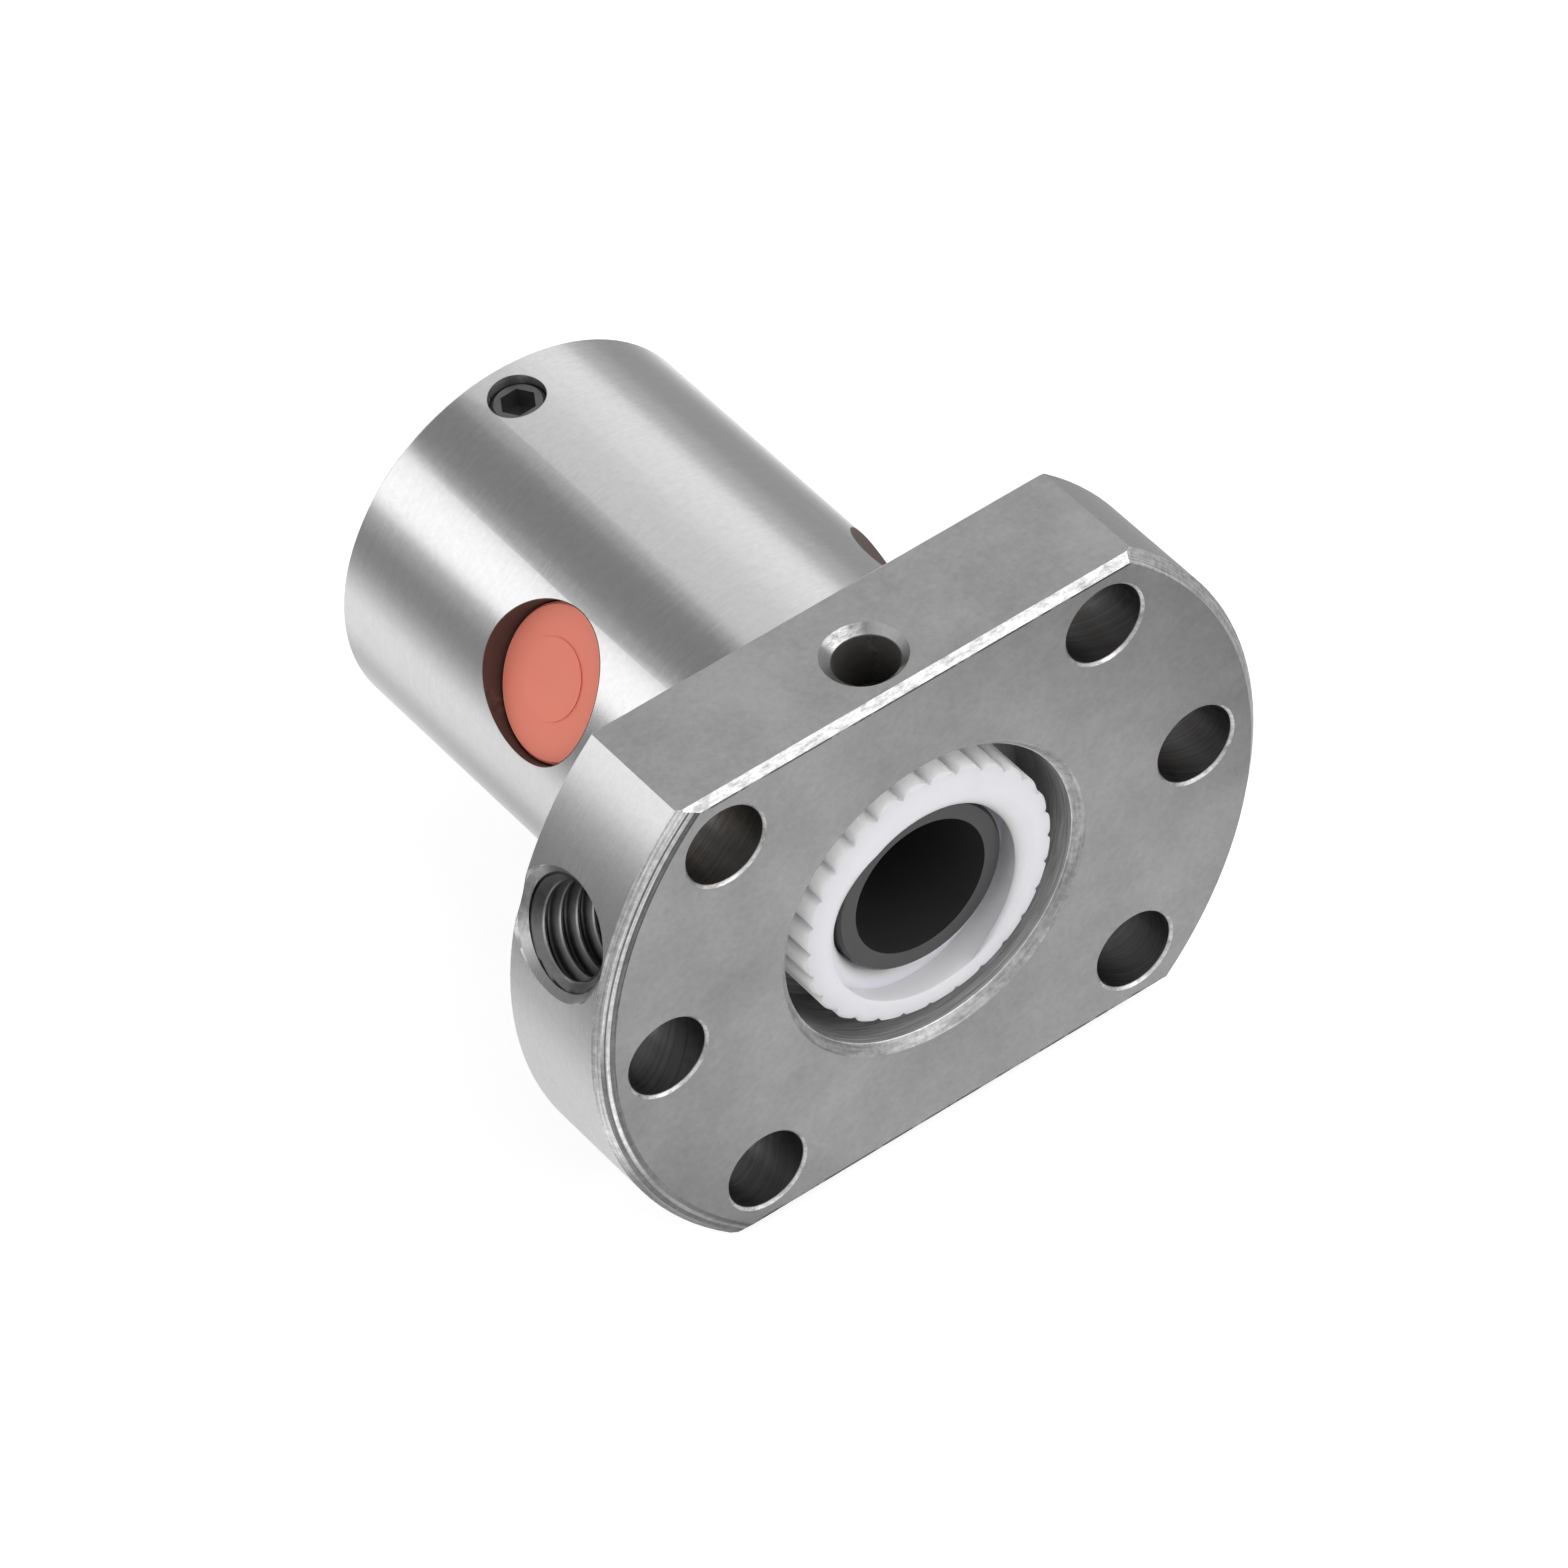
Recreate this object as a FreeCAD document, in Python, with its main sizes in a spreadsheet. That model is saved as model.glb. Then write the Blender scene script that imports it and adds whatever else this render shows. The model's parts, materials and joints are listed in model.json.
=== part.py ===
import FreeCAD, Part
import math
import os

import Sketcher
from FreeCAD import Placement, Rotation, Vector

# Flanged ball screw nut for a 12 mm screw of 4 mm lead.
# Millimetres. The origin is on the screw's axis, in the plane where the flange meets its housing.
# +Y runs along the barrel, away from the flange, +Z is up and square to the flange's two flats.
# A turn is an angle about the axis in degrees, counted from +X towards +Z.
# A place is a distance along +Y.

os.makedirs("parts", exist_ok=True)
doc = FreeCAD.newDocument("ball_screw_nut")

# Driving sizes

SIZES = {
    # screw and balls
    "screw_diameter": 12.0,
    "screw_lead": 4.0,
    "ball_diameter": 2.381,
    "ball_circle_rise": 0.35,  # diameter of the circle of ball centres, over the screw's diameter
    "ball_play": 0.03,  # room between a ball and the walls of its track
    "ball_gap": 0.15,  # least room left for each ball along its circuit
    "track_conformity": 1.05,  # radius of the track's walls over the radius of a ball
    "land_clearance": 0.4,  # from the screw's outside to the lands between the track's turns
    "track_overrun": 0.3,  # how far the track's cut is drawn inside the lands
    "circuit_count": 3,
    "cut_overrun": 1.0,  # how far other cuts are drawn past the surface that they open in
    # flange
    "bolt_margin": 5.0,  # from the barrel's surface to the ring of bolt holes
    "bolt_rim": 4.0,  # from the ring of bolt holes to the flange's rim
    "flat_margin": 3.4363,  # from the middle of the outer bolt holes to the flat
    "flange_thickness": 7.6,
    "rim_chamfer": 0.6,
    "flat_chamfer": 0.4,
    "flat_back_chamfer": 0.25,
    "back_chamfer": 0.3,
    "bolt_hole": 4.5,
    "bolt_spread": 45.0,  # turn between neighbouring holes of a side
    "bolt_hole_chamfer": 0.15,
    # barrel
    "barrel_wall": 2.35,  # from the wall of a recess to the barrel's surface
    "barrel_chamfer": 0.4,
    "seam_turn": -9.0,  # where the turned surfaces begin and end, clear of the holes in the barrel
    "relief_width": 1.0,
    "relief_depth": 0.2,
    "relief_reach": 0.4,  # from the barrel's surface out to where the relief ends in the flange's face
    "relief_undercut": 0.1,  # depth of the relief in the flange's face
    "end_wall": 0.6833,  # metal between the last cap's hole and the rear recess: makes the nut 35 long
    # recesses for the wipers, one at each end, each with a narrower seat at its bottom
    "recess_gap": 1.19,  # from a wiper's teeth to the wall of its recess
    "recess_depth": 4.85,
    "recess_chamfer": 0.5,
    "seat_depth": 0.5,
    "seat_fit": 0.05,
    # grease port in the flange's rim
    "port_turn": 159.5,
    "port_offset": 0.4,  # behind the middle of the flange's thickness
    "port_thread": 6.0,
    "port_rim": 6.66,
    "port_depth": 6.0,
    "port_passage": 2.0,
    "drill_point": 118.0,
    # return caps and the holes that they sit in
    "cap_diameter": 8.0,
    "cap_fit": 0.1,
    "cap_sink": 1.3,  # from the barrel's surface down to the cap's face
    "cap_edge_chamfer": 0.12,
    "cap_mark_diameter": 4.2,
    "cap_mark_height": 0.08,
    "cap_mark_offset": 0.35,
    "first_cap_turn": 25.8,
    "first_cap_place": 6.6,
    "crossing_margin": 0.1,  # from the start of the crossing to the cap's edge
    "crossing_clearance": 0.13,  # between a crossing ball and the screw's outside
    "crossing_play": 0.08,  # room round a ball in the cap's channel
    # wipers
    "wiper_wall": 1.46,  # from the screw's outside to the outside of the wiper's teeth
    "wiper_sink": 0.46,  # from the nut's end face down to the wiper's teeth
    "wiper_crown": 0.2,  # rise of the wiper's face from its teeth to its bore
    "wiper_mouth": 0.75,  # radius of the rounded mouth
    "wiper_land": 0.25,  # width of the flat ring round the bore, inside the sloping face
    "wiper_edge_chamfer": 0.15,
    "wiper_end_play": 0.05,
    "wiper_clearance": 0.05,  # from the screw's outside to the wiper's bore
    "ridge_clearance": 0.12,  # from the sleeve to the crest of the wiper's ridge
    "ridge_play": 0.085,  # between the wiper's ridge and the walls of the screw's groove
    "flute_count": 28,
    "flute_depth": 0.33,
    "flute_turn": 9.66,  # turn from the start of the wiper's ridge to a flute
    "tooth_rounding": 0.92,  # share of a tooth's width that its two rounded flanks take
    # grub screws that hold the wipers
    "front_screw_turn": 91.75,
    "front_screw_inset": 3.1,  # from the flange's front face to the screw's axis
    "front_screw_hole": 3.4,
    "front_screw_rim": 4.4,
    "front_screw_rim_depth": 0.5,
    "front_screw_sink": 3.45,  # from the flat down to the screw
    "front_screw_tip": 2.4,
    "front_screw_socket": 2.0,
    "rear_screw_turn": 93.1,
    "rear_screw_inset": 2.55,  # from the barrel's end face to the screw's axis
    "rear_screw_hole": 3.0,
    "rear_screw_sink": 0.46,  # from the barrel's surface down to the screw
    "rear_screw_tip": 2.0,
    "rear_screw_socket": 1.7,
    "screw_fit": 0.05,  # between a grub screw and its hole
    "screw_tip_gap": 0.04,  # between a grub screw's tip and the wiper's teeth
    "screw_edge_chamfer": 0.2,
    "socket_depth": 1.2,
    # transport sleeve that keeps the balls in until the screw takes its place
    "sleeve_play": 0.055,  # between the sleeve and the balls
    "sleeve_wall": 1.03,
    "sleeve_sink": 1.2,  # from the nut's end face down to the sleeve's end
    "sleeve_chamfer": 0.15,
}

sheet = doc.addObject("Spreadsheet::Sheet", "Sizes")
for row, (alias, value) in enumerate(SIZES.items(), start=1):
    sheet.set(f"A{row}", alias)
    sheet.set(f"B{row}", str(value))
    sheet.setAlias(f"B{row}", alias)
doc.recompute()

# Sizes that follow from the driving ones, as expressions on the sheet

SCREW_RADIUS = "(Sizes.screw_diameter / 2)"
BALL_RADIUS = "(Sizes.ball_diameter / 2)"
BALL_CIRCLE_RADIUS = "((Sizes.screw_diameter + Sizes.ball_circle_rise) / 2)"
LAND_RADIUS = f"({SCREW_RADIUS} + Sizes.land_clearance)"
TRACK_RADIUS = f"({BALL_RADIUS} * Sizes.track_conformity)"
# The track's two walls are arcs whose centres stand off the ball's, so that it bears at 45 degrees.
TRACK_SHIFT = f"(({TRACK_RADIUS} - {BALL_RADIUS} - Sizes.ball_play) * sqrt(0.5))"

# The wall is built up outwards from the screw: wiper, recess, barrel, bolt holes, rim.
WIPER_RADIUS = f"({SCREW_RADIUS} + Sizes.wiper_wall)"
SEAT_RADIUS = f"({WIPER_RADIUS} + Sizes.seat_fit)"
RECESS_RADIUS = f"({WIPER_RADIUS} + Sizes.recess_gap)"
RECESS_MOUTH = f"({RECESS_RADIUS} + Sizes.recess_chamfer)"
BARREL_RADIUS = f"({RECESS_RADIUS} + Sizes.barrel_wall)"
BOLT_CIRCLE_RADIUS = f"({BARREL_RADIUS} + Sizes.bolt_margin)"
FLANGE_RADIUS = f"({BOLT_CIRCLE_RADIUS} + Sizes.bolt_rim)"
HALF_FLATS = f"({BOLT_CIRCLE_RADIUS} * sin(Sizes.bolt_spread * 1 deg) + Sizes.flat_margin)"
FRONT_FACE = "(-Sizes.flange_thickness)"
WELL_DEPTH = "(Sizes.recess_depth + Sizes.seat_depth)"

CAP_RADIUS = "(Sizes.cap_diameter / 2)"
CAP_HOLE_RADIUS = f"({CAP_RADIUS} + Sizes.cap_fit)"
CAP_FACE = f"({BARREL_RADIUS} - Sizes.cap_sink)"
CAP_TURN_STEP = "(360 / Sizes.circuit_count)"
CAP_PLACE_STEP = "(Sizes.screw_lead * (1 + 1 / Sizes.circuit_count))"
LAST_CAP_PLACE = f"(Sizes.first_cap_place + (Sizes.circuit_count - 1) * {CAP_PLACE_STEP})"
REAR_FACE = f"({LAST_CAP_PLACE} + {CAP_HOLE_RADIUS} + Sizes.end_wall + {WELL_DEPTH})"
# The track passes half a lead before the middle of each cap: this is where it crosses the turn 0.
TRACK_PHASE = "(Sizes.first_cap_place - Sizes.screw_lead * (0.5 + Sizes.first_cap_turn / 360))"

SLEEVE_RADIUS = f"({BALL_CIRCLE_RADIUS} - {BALL_RADIUS} - Sizes.sleeve_play)"
WIPER_LENGTH = f"({WELL_DEPTH} - Sizes.wiper_sink - Sizes.wiper_end_play)"
WIPER_BORE_RADIUS = f"({SCREW_RADIUS} + Sizes.wiper_clearance)"
WIPER_CREST_RADIUS = f"({SLEEVE_RADIUS} + Sizes.ridge_clearance)"
RIDGE_RADIUS = f"({TRACK_RADIUS} - Sizes.ridge_play)"


def number(expression):
    """Value of an expression on the sheet."""
    value = sheet.evalExpression(expression)
    return float(getattr(value, "Value", value))


# Helpers for sketches and features


def new_body(name):
    """Body that holds one piece."""
    made = doc.addObject("PartDesign::Body", name)
    made.Label = name
    return made


def origin_feature(body, role):
    """Plane or axis of the body's own origin."""
    return next(feature for feature in body.Origin.OriginFeatures if feature.Role == role)


def new_sketch(body, name, role="XY_Plane"):
    """Sketch on a plane of the body's origin."""
    made = body.newObject("Sketcher::SketchObject", name)
    made.AttachmentSupport = [(origin_feature(body, role), "")]
    made.MapMode = "FlatFace"
    return made


def hold_point(sketch, edge, end, x, y):
    """Tie one end of an edge to its place, given as two expressions."""
    for kind, wanted in (("DistanceX", x), ("DistanceY", y)):
        index = sketch.addConstraint(Sketcher.Constraint(kind, -1, 1, edge, end, number(wanted)))
        sketch.setExpression(f"Constraints[{index}]", wanted)


def arc_between(centre, first, last):
    """Counter-clockwise arc round a centre from one point to another."""
    angles = [math.atan2(end.y - centre.y, end.x - centre.x) for end in (first, last)]
    if angles[1] < angles[0]:
        angles[1] += 2 * math.pi
    circle = Part.Circle(centre, Vector(0, 0, 1), centre.distanceToPoint(first))
    return Part.ArcOfCircle(circle, *angles)


def draw_outline(sketch, corners, arcs=None):
    """Closed outline through corners that are pairs of expressions.

    Its edges are straight, apart from those whose number is in arcs. There it gives the arc's
    centre, its radius and whether it runs counter-clockwise from its corner to the next.
    """
    spots = [Vector(number(x), number(y), 0) for x, y in corners]
    count = len(spots)
    edges = []
    for index in range(count):
        first, last = spots[index], spots[(index + 1) % count]
        if not arcs or index not in arcs:
            edges.append((sketch.addGeometry(Part.LineSegment(first, last), False), 1, 2))
            continue
        centre, radius, forward = arcs[index]
        middle = Vector(number(centre[0]), number(centre[1]), 0)
        arc = arc_between(middle, first, last) if forward else arc_between(middle, last, first)
        edge = sketch.addGeometry(arc, False)
        edges.append((edge, 1, 2) if forward else (edge, 2, 1))
        size = sketch.addConstraint(Sketcher.Constraint("Radius", edge, number(radius)))
        sketch.setExpression(f"Constraints[{size}]", radius)
    for index, (edge, start, end) in enumerate(edges):
        following, joined, _ = edges[(index + 1) % count]
        sketch.addConstraint(Sketcher.Constraint("Coincident", edge, end, following, joined))
        hold_point(sketch, edge, start, *corners[index])


def draw_circle(sketch, x, y, radius):
    """Circle whose centre and radius are expressions."""
    centre = Vector(number(x), number(y), 0)
    edge = sketch.addGeometry(Part.Circle(centre, Vector(0, 0, 1), number(radius)), False)
    hold_point(sketch, edge, 3, x, y)
    index = sketch.addConstraint(Sketcher.Constraint("Radius", edge, number(radius)))
    sketch.setExpression(f"Constraints[{index}]", radius)


def revolve(body, name, sketch, axis="V_Axis"):
    """Solid turned once round an axis of its sketch."""
    made = body.newObject("PartDesign::Revolution", name)
    made.Profile = sketch
    made.ReferenceAxis = (sketch, [axis])
    made.Angle = 360
    return made


def groove(body, name, sketch, axis="V_Axis"):
    """Cut turned once round an axis of its sketch."""
    made = body.newObject("PartDesign::Groove", name)
    made.Profile = sketch
    made.ReferenceAxis = (sketch, [axis])
    made.Angle = 360
    return made


def cut_through(body, name, sketch):
    """Cut that runs right through the body, both ways from its sketch."""
    made = body.newObject("PartDesign::Pocket", name)
    made.Profile = sketch
    made.SideType = "Symmetric"
    made.Type = "ThroughAll"
    return made


def chamfer_edges(body, name, base, size, wanted):
    """Chamfer on the edges of the base that wanted() picks."""
    doc.recompute()
    picked = [f"Edge{index}" for index, edge in enumerate(base.Shape.Edges, start=1) if wanted(edge)]
    if not picked:
        raise ValueError(f"{name}: no edge to chamfer")
    made = body.newObject("PartDesign::Chamfer", name)
    made.Base = (base, picked)
    made.setExpression("Size", size)
    return made


def helical_cut(body, name, sketch, height):
    """Left-hand helical cut along the body's Y axis, from its sketch and one lead a turn."""
    made = body.newObject("PartDesign::SubtractiveHelix", name)
    made.Profile = sketch
    made.ReferenceAxis = (origin_feature(body, "Y_Axis"), [""])
    made.Mode = "pitch-height-angle"
    made.LeftHanded = True
    made.Angle = 0
    made.setExpression("Pitch", "Sizes.screw_lead")
    made.setExpression("Height", height)
    return made


def radial_cut(body, name, turn, place, corners):
    """Round hole that points at the axis, given by its half section.

    Each corner is a radius from the hole's axis and a height from the screw's axis.
    """
    sketch = new_sketch(body, f"{name}_section", "XZ_Plane")
    sketch.setExpression(".AttachmentOffset.Base.z", f"-({place})")
    sketch.setExpression(".AttachmentOffset.Rotation.Angle", f"{turn} - 90")
    draw_outline(sketch, corners)
    return groove(body, name, sketch)


def close_to(value, expression):
    """Whether a measured length is the one that the expression gives."""
    return abs(value - number(expression)) < 1e-4


# Frames of the pieces that point at the axis


def outward(turn, place):
    """Placement whose Z points out from the axis at a turn, with Y along the axis."""
    return Placement(Vector(0, place, 0), Rotation(Vector(0, 1, 0), 90 - turn))


def cap_frame(index):
    """Frame of a return cap and of the circuit of balls that it closes."""
    turn = number(f"Sizes.first_cap_turn + {index} * {CAP_TURN_STEP}")
    place = number(f"Sizes.first_cap_place + {index} * {CAP_PLACE_STEP}")
    return outward(turn, place)


# Nut body: flange, barrel, ball track, recesses and holes, ground from one piece of steel


def is_flat_edge(place):
    """Test for the straight edges of the two flats in the plane at a place."""

    def wanted(edge):
        ends = [vertex.Point for vertex in edge.Vertexes]
        return len(ends) == 2 and all(
            close_to(abs(end.z), HALF_FLATS) and close_to(end.y, place) for end in ends
        )

    return wanted


def is_bolt_edge(edge):
    """Test for the bolt holes' edges in the flange's two faces."""
    curve = edge.Curve
    round_edge = isinstance(curve, Part.Circle) and close_to(curve.Radius, "Sizes.bolt_hole / 2")
    if not round_edge or abs(abs(curve.Axis.y) - 1) > 1e-6:
        return False
    return close_to(curve.Center.y, FRONT_FACE) or close_to(curve.Center.y, "0")


def turned_blank(body):
    """Flange and barrel with the bore, both recesses and the relief in the corner between them."""
    section = new_sketch(body, "blank_section")
    section.AttachmentOffset = Placement(Vector(), Rotation(Vector(0, 1, 0), -number("Sizes.seam_turn")))
    draw_outline(
        section,
        [
            (RECESS_MOUTH, FRONT_FACE),
            (f"{FLANGE_RADIUS} - Sizes.rim_chamfer", FRONT_FACE),
            (FLANGE_RADIUS, f"{FRONT_FACE} + Sizes.rim_chamfer"),
            (FLANGE_RADIUS, "-Sizes.back_chamfer"),
            (f"{FLANGE_RADIUS} - Sizes.back_chamfer", "0"),
            (f"{BARREL_RADIUS} + Sizes.relief_reach", "0"),
            (f"{BARREL_RADIUS} + Sizes.relief_reach - Sizes.relief_undercut", "-Sizes.relief_undercut"),
            (f"{BARREL_RADIUS} - Sizes.relief_depth", "-Sizes.relief_undercut"),
            (f"{BARREL_RADIUS} - Sizes.relief_depth", "Sizes.relief_width"),
            (BARREL_RADIUS, "Sizes.relief_width + Sizes.relief_depth"),
            (BARREL_RADIUS, f"{REAR_FACE} - Sizes.barrel_chamfer"),
            (f"{BARREL_RADIUS} - Sizes.barrel_chamfer", REAR_FACE),
            (RECESS_MOUTH, REAR_FACE),
            (RECESS_RADIUS, f"{REAR_FACE} - Sizes.recess_chamfer"),
            (RECESS_RADIUS, f"{REAR_FACE} - Sizes.recess_depth"),
            (SEAT_RADIUS, f"{REAR_FACE} - Sizes.recess_depth"),
            (SEAT_RADIUS, f"{REAR_FACE} - {WELL_DEPTH}"),
            (LAND_RADIUS, f"{REAR_FACE} - {WELL_DEPTH}"),
            (LAND_RADIUS, f"{FRONT_FACE} + {WELL_DEPTH}"),
            (SEAT_RADIUS, f"{FRONT_FACE} + {WELL_DEPTH}"),
            (SEAT_RADIUS, f"{FRONT_FACE} + Sizes.recess_depth"),
            (RECESS_RADIUS, f"{FRONT_FACE} + Sizes.recess_depth"),
            (RECESS_RADIUS, f"{FRONT_FACE} + Sizes.recess_chamfer"),
        ],
    )
    return revolve(body, "blank", section)


def ball_track(body):
    """Gothic arch track, cut the whole way between the recesses."""
    # Whole leads before the front recess's floor, and one more so that the cut starts in the open
    run_in = number(f"{TRACK_PHASE} - ({FRONT_FACE} + {WELL_DEPTH})")
    spare_turns = math.ceil(run_in / number("Sizes.screw_lead")) + 1
    start = f"({TRACK_PHASE} - {spare_turns} * Sizes.screw_lead)"
    wall_centre = f"({BALL_CIRCLE_RADIUS} - {TRACK_SHIFT})"
    inner = f"({LAND_RADIUS} - Sizes.track_overrun)"
    half_width = f"(sqrt({TRACK_RADIUS}^2 - ({inner} - {wall_centre})^2) - {TRACK_SHIFT})"
    bottom = f"({wall_centre} + sqrt({TRACK_RADIUS}^2 - {TRACK_SHIFT}^2))"

    section = new_sketch(body, "track_section")
    draw_outline(
        section,
        [(bottom, start), (inner, f"{start} + {half_width}"), (inner, f"{start} - {half_width}")],
        {
            0: ((wall_centre, f"{start} - {TRACK_SHIFT}"), TRACK_RADIUS, True),
            2: ((wall_centre, f"{start} + {TRACK_SHIFT}"), TRACK_RADIUS, True),
        },
    )
    # The cut ends in the rear recess, more than a lead behind its floor
    end = f"({REAR_FACE} - {WELL_DEPTH} + Sizes.screw_lead + Sizes.cut_overrun)"
    return helical_cut(body, "track", section, f"{end} - {start}")


def nut_body():
    """The nut's one steel body."""
    body = new_body("nut_body")
    turned_blank(body)
    cap_holes(body)
    ball_track(body)

    flats = new_sketch(body, "flats_outline", "XZ_Plane")
    clear_of_rim = f"({FLANGE_RADIUS} + Sizes.cut_overrun)"
    for side in ("", "-"):
        near = f"{side}{HALF_FLATS}"
        far = f"{side}{clear_of_rim}"
        left = f"-{clear_of_rim}"
        draw_outline(flats, [(left, near), (clear_of_rim, near), (clear_of_rim, far), (left, far)])
    cut_flats = cut_through(body, "flats", flats)
    edged = chamfer_edges(body, "flat_chamfer", cut_flats, "Sizes.flat_chamfer", is_flat_edge(FRONT_FACE))
    chamfer_edges(body, "flat_back_chamfer", edged, "Sizes.flat_back_chamfer", is_flat_edge("0"))

    bolts = new_sketch(body, "bolt_hole_circles", "XZ_Plane")
    for turn in ("-Sizes.bolt_spread", "0", "Sizes.bolt_spread"):
        across = f"{BOLT_CIRCLE_RADIUS} * cos(({turn}) * 1 deg)"
        upward = f"{BOLT_CIRCLE_RADIUS} * sin(({turn}) * 1 deg)"
        draw_circle(bolts, across, upward, "Sizes.bolt_hole / 2")
    holes = cut_through(body, "bolt_holes", bolts)
    mirrored = body.newObject("PartDesign::Mirrored", "bolt_holes_other_side")
    mirrored.Originals = [holes]
    mirrored.MirrorPlane = (origin_feature(body, "YZ_Plane"), [""])
    body.Tip = mirrored
    chamfer_edges(body, "bolt_hole_chamfer", mirrored, "Sizes.bolt_hole_chamfer", is_bolt_edge)

    port_holes(body)
    wiper_screw_holes(body)
    return body


def cap_holes(body):
    """Holes that the return caps sit in, round and square to the axis, through to the bore."""
    for index in range(int(number("Sizes.circuit_count"))):
        radial_cut(
            body,
            f"cap_hole_{index + 1}",
            f"Sizes.first_cap_turn + {index} * {CAP_TURN_STEP}",
            f"Sizes.first_cap_place + {index} * {CAP_PLACE_STEP}",
            [
                ("0", f"{LAND_RADIUS} / 2"),
                (CAP_HOLE_RADIUS, f"{LAND_RADIUS} / 2"),
                (CAP_HOLE_RADIUS, f"{BARREL_RADIUS} + Sizes.cut_overrun"),
                ("0", f"{BARREL_RADIUS} + Sizes.cut_overrun"),
            ],
        )


def port_holes(body):
    """Tapped grease port in the rim: countersink, thread bore, drill point and passage."""
    thread_radius = "(Sizes.port_thread / 2)"
    rim_radius = "(Sizes.port_rim / 2)"
    passage_radius = "(Sizes.port_passage / 2)"
    thread_end = f"({FLANGE_RADIUS} - Sizes.port_depth)"
    point_end = f"({thread_end} - ({thread_radius} - {passage_radius}) / tan(Sizes.drill_point / 2 * 1 deg))"
    # The countersink meets its rim's radius on the round rim's surface
    rim_height = f"sqrt({FLANGE_RADIUS}^2 - {rim_radius}^2)"
    radial_cut(
        body,
        "grease_port",
        "Sizes.port_turn",
        f"{FRONT_FACE} / 2 + Sizes.port_offset",
        [
            ("0", SEAT_RADIUS),
            (passage_radius, SEAT_RADIUS),
            (passage_radius, point_end),
            (thread_radius, thread_end),
            (thread_radius, f"{rim_height} - {rim_radius} + {thread_radius}"),
            (f"{rim_radius} + Sizes.cut_overrun", f"{rim_height} + Sizes.cut_overrun"),
            ("0", f"{rim_height} + Sizes.cut_overrun"),
        ],
    )


def wiper_screw_holes(body):
    """Holes of the two grub screws: a countersunk one in the flat, a plain one in the barrel."""
    hole_radius = "(Sizes.front_screw_hole / 2)"
    rim_radius = "(Sizes.front_screw_rim / 2)"
    radial_cut(
        body,
        "front_screw_hole",
        "Sizes.front_screw_turn",
        f"{FRONT_FACE} + Sizes.front_screw_inset",
        [
            ("0", SEAT_RADIUS),
            (hole_radius, SEAT_RADIUS),
            (hole_radius, f"{HALF_FLATS} - Sizes.front_screw_rim_depth"),
            (f"{rim_radius} + {rim_radius} - {hole_radius}", f"{HALF_FLATS} + Sizes.front_screw_rim_depth"),
            ("0", f"{HALF_FLATS} + Sizes.front_screw_rim_depth"),
        ],
    )
    rear_radius = "(Sizes.rear_screw_hole / 2)"
    radial_cut(
        body,
        "rear_screw_hole",
        "Sizes.rear_screw_turn",
        f"{REAR_FACE} - Sizes.rear_screw_inset",
        [
            ("0", SEAT_RADIUS),
            (rear_radius, SEAT_RADIUS),
            (rear_radius, f"{BARREL_RADIUS} + Sizes.cut_overrun"),
            ("0", f"{BARREL_RADIUS} + Sizes.cut_overrun"),
        ],
    )


# Ball circuits: one turn of the track, closed over the screw's land by the channel in a cap


def crossing_half_turn():
    """Turn from the cap's middle to where a ball leaves the track's helix."""
    reach = number(f"{CAP_RADIUS} - Sizes.crossing_margin")
    half_lead = number("Sizes.screw_lead / 2")
    return math.degrees(math.asin(math.sqrt(reach**2 - half_lead**2) / number(BALL_CIRCLE_RADIUS)))


def ball_centre(turn):
    """Centre of a ball in the cap's frame, at a turn from -180 to 180 degrees past its middle."""
    lead = number("Sizes.screw_lead")
    radius = number(BALL_CIRCLE_RADIUS)
    half_turn = crossing_half_turn()
    if abs(turn) >= half_turn:
        along = lead * turn / 360 - math.copysign(lead / 2, turn)
    else:
        # Odd cubic that meets the helix at both ends in place and in slope
        share = turn / half_turn
        slope = lead * half_turn / 360
        cubic = -lead / 4
        along = -((lead / 2 - slope - cubic) * share + cubic * share**3)
        lift = number(f"{SCREW_RADIUS} + {BALL_RADIUS} + Sizes.crossing_clearance - {BALL_CIRCLE_RADIUS}")
        radius += lift * (1 - share**2) ** 2
    angle = math.radians(turn)
    return Vector(-radius * math.sin(angle), along, radius * math.cos(angle))


def circuit_centres():
    """Centres of the balls of one circuit in the cap's frame, evenly spread along it."""
    steps = 1440  # fine enough to measure the way along the circuit
    turns = [360 * step / steps - 180 for step in range(steps + 1)]
    spots = [ball_centre(turn) for turn in turns]
    run = [0.0]
    for before, after in zip(spots, spots[1:]):
        run.append(run[-1] + before.distanceToPoint(after))
    count = int(run[-1] / number("Sizes.ball_diameter + Sizes.ball_gap"))
    centres = []
    for index in range(count):
        wanted = run[-1] * (index + 0.5) / count
        step = next(step for step in range(steps) if run[step + 1] >= wanted)
        share = (wanted - run[step]) / (run[step + 1] - run[step])
        centres.append(ball_centre(turns[step] + share * 360 / steps))
    return centres


def circuit_balls(index):
    """Balls of one circuit, each a piece of its own."""
    balls = []
    for serial, centre in enumerate(circuit_centres(), start=1):
        ball = doc.addObject("Part::Sphere", f"circuit_{index + 1}_ball_{serial:02d}")
        ball.Label = ball.Name
        ball.setExpression("Radius", BALL_RADIUS)
        ball.Placement = Placement(cap_frame(index).multVec(centre), Rotation())
        balls.append(ball)
    return balls


# Return caps: moulded plugs whose hidden end carries the S-shaped channel


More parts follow.
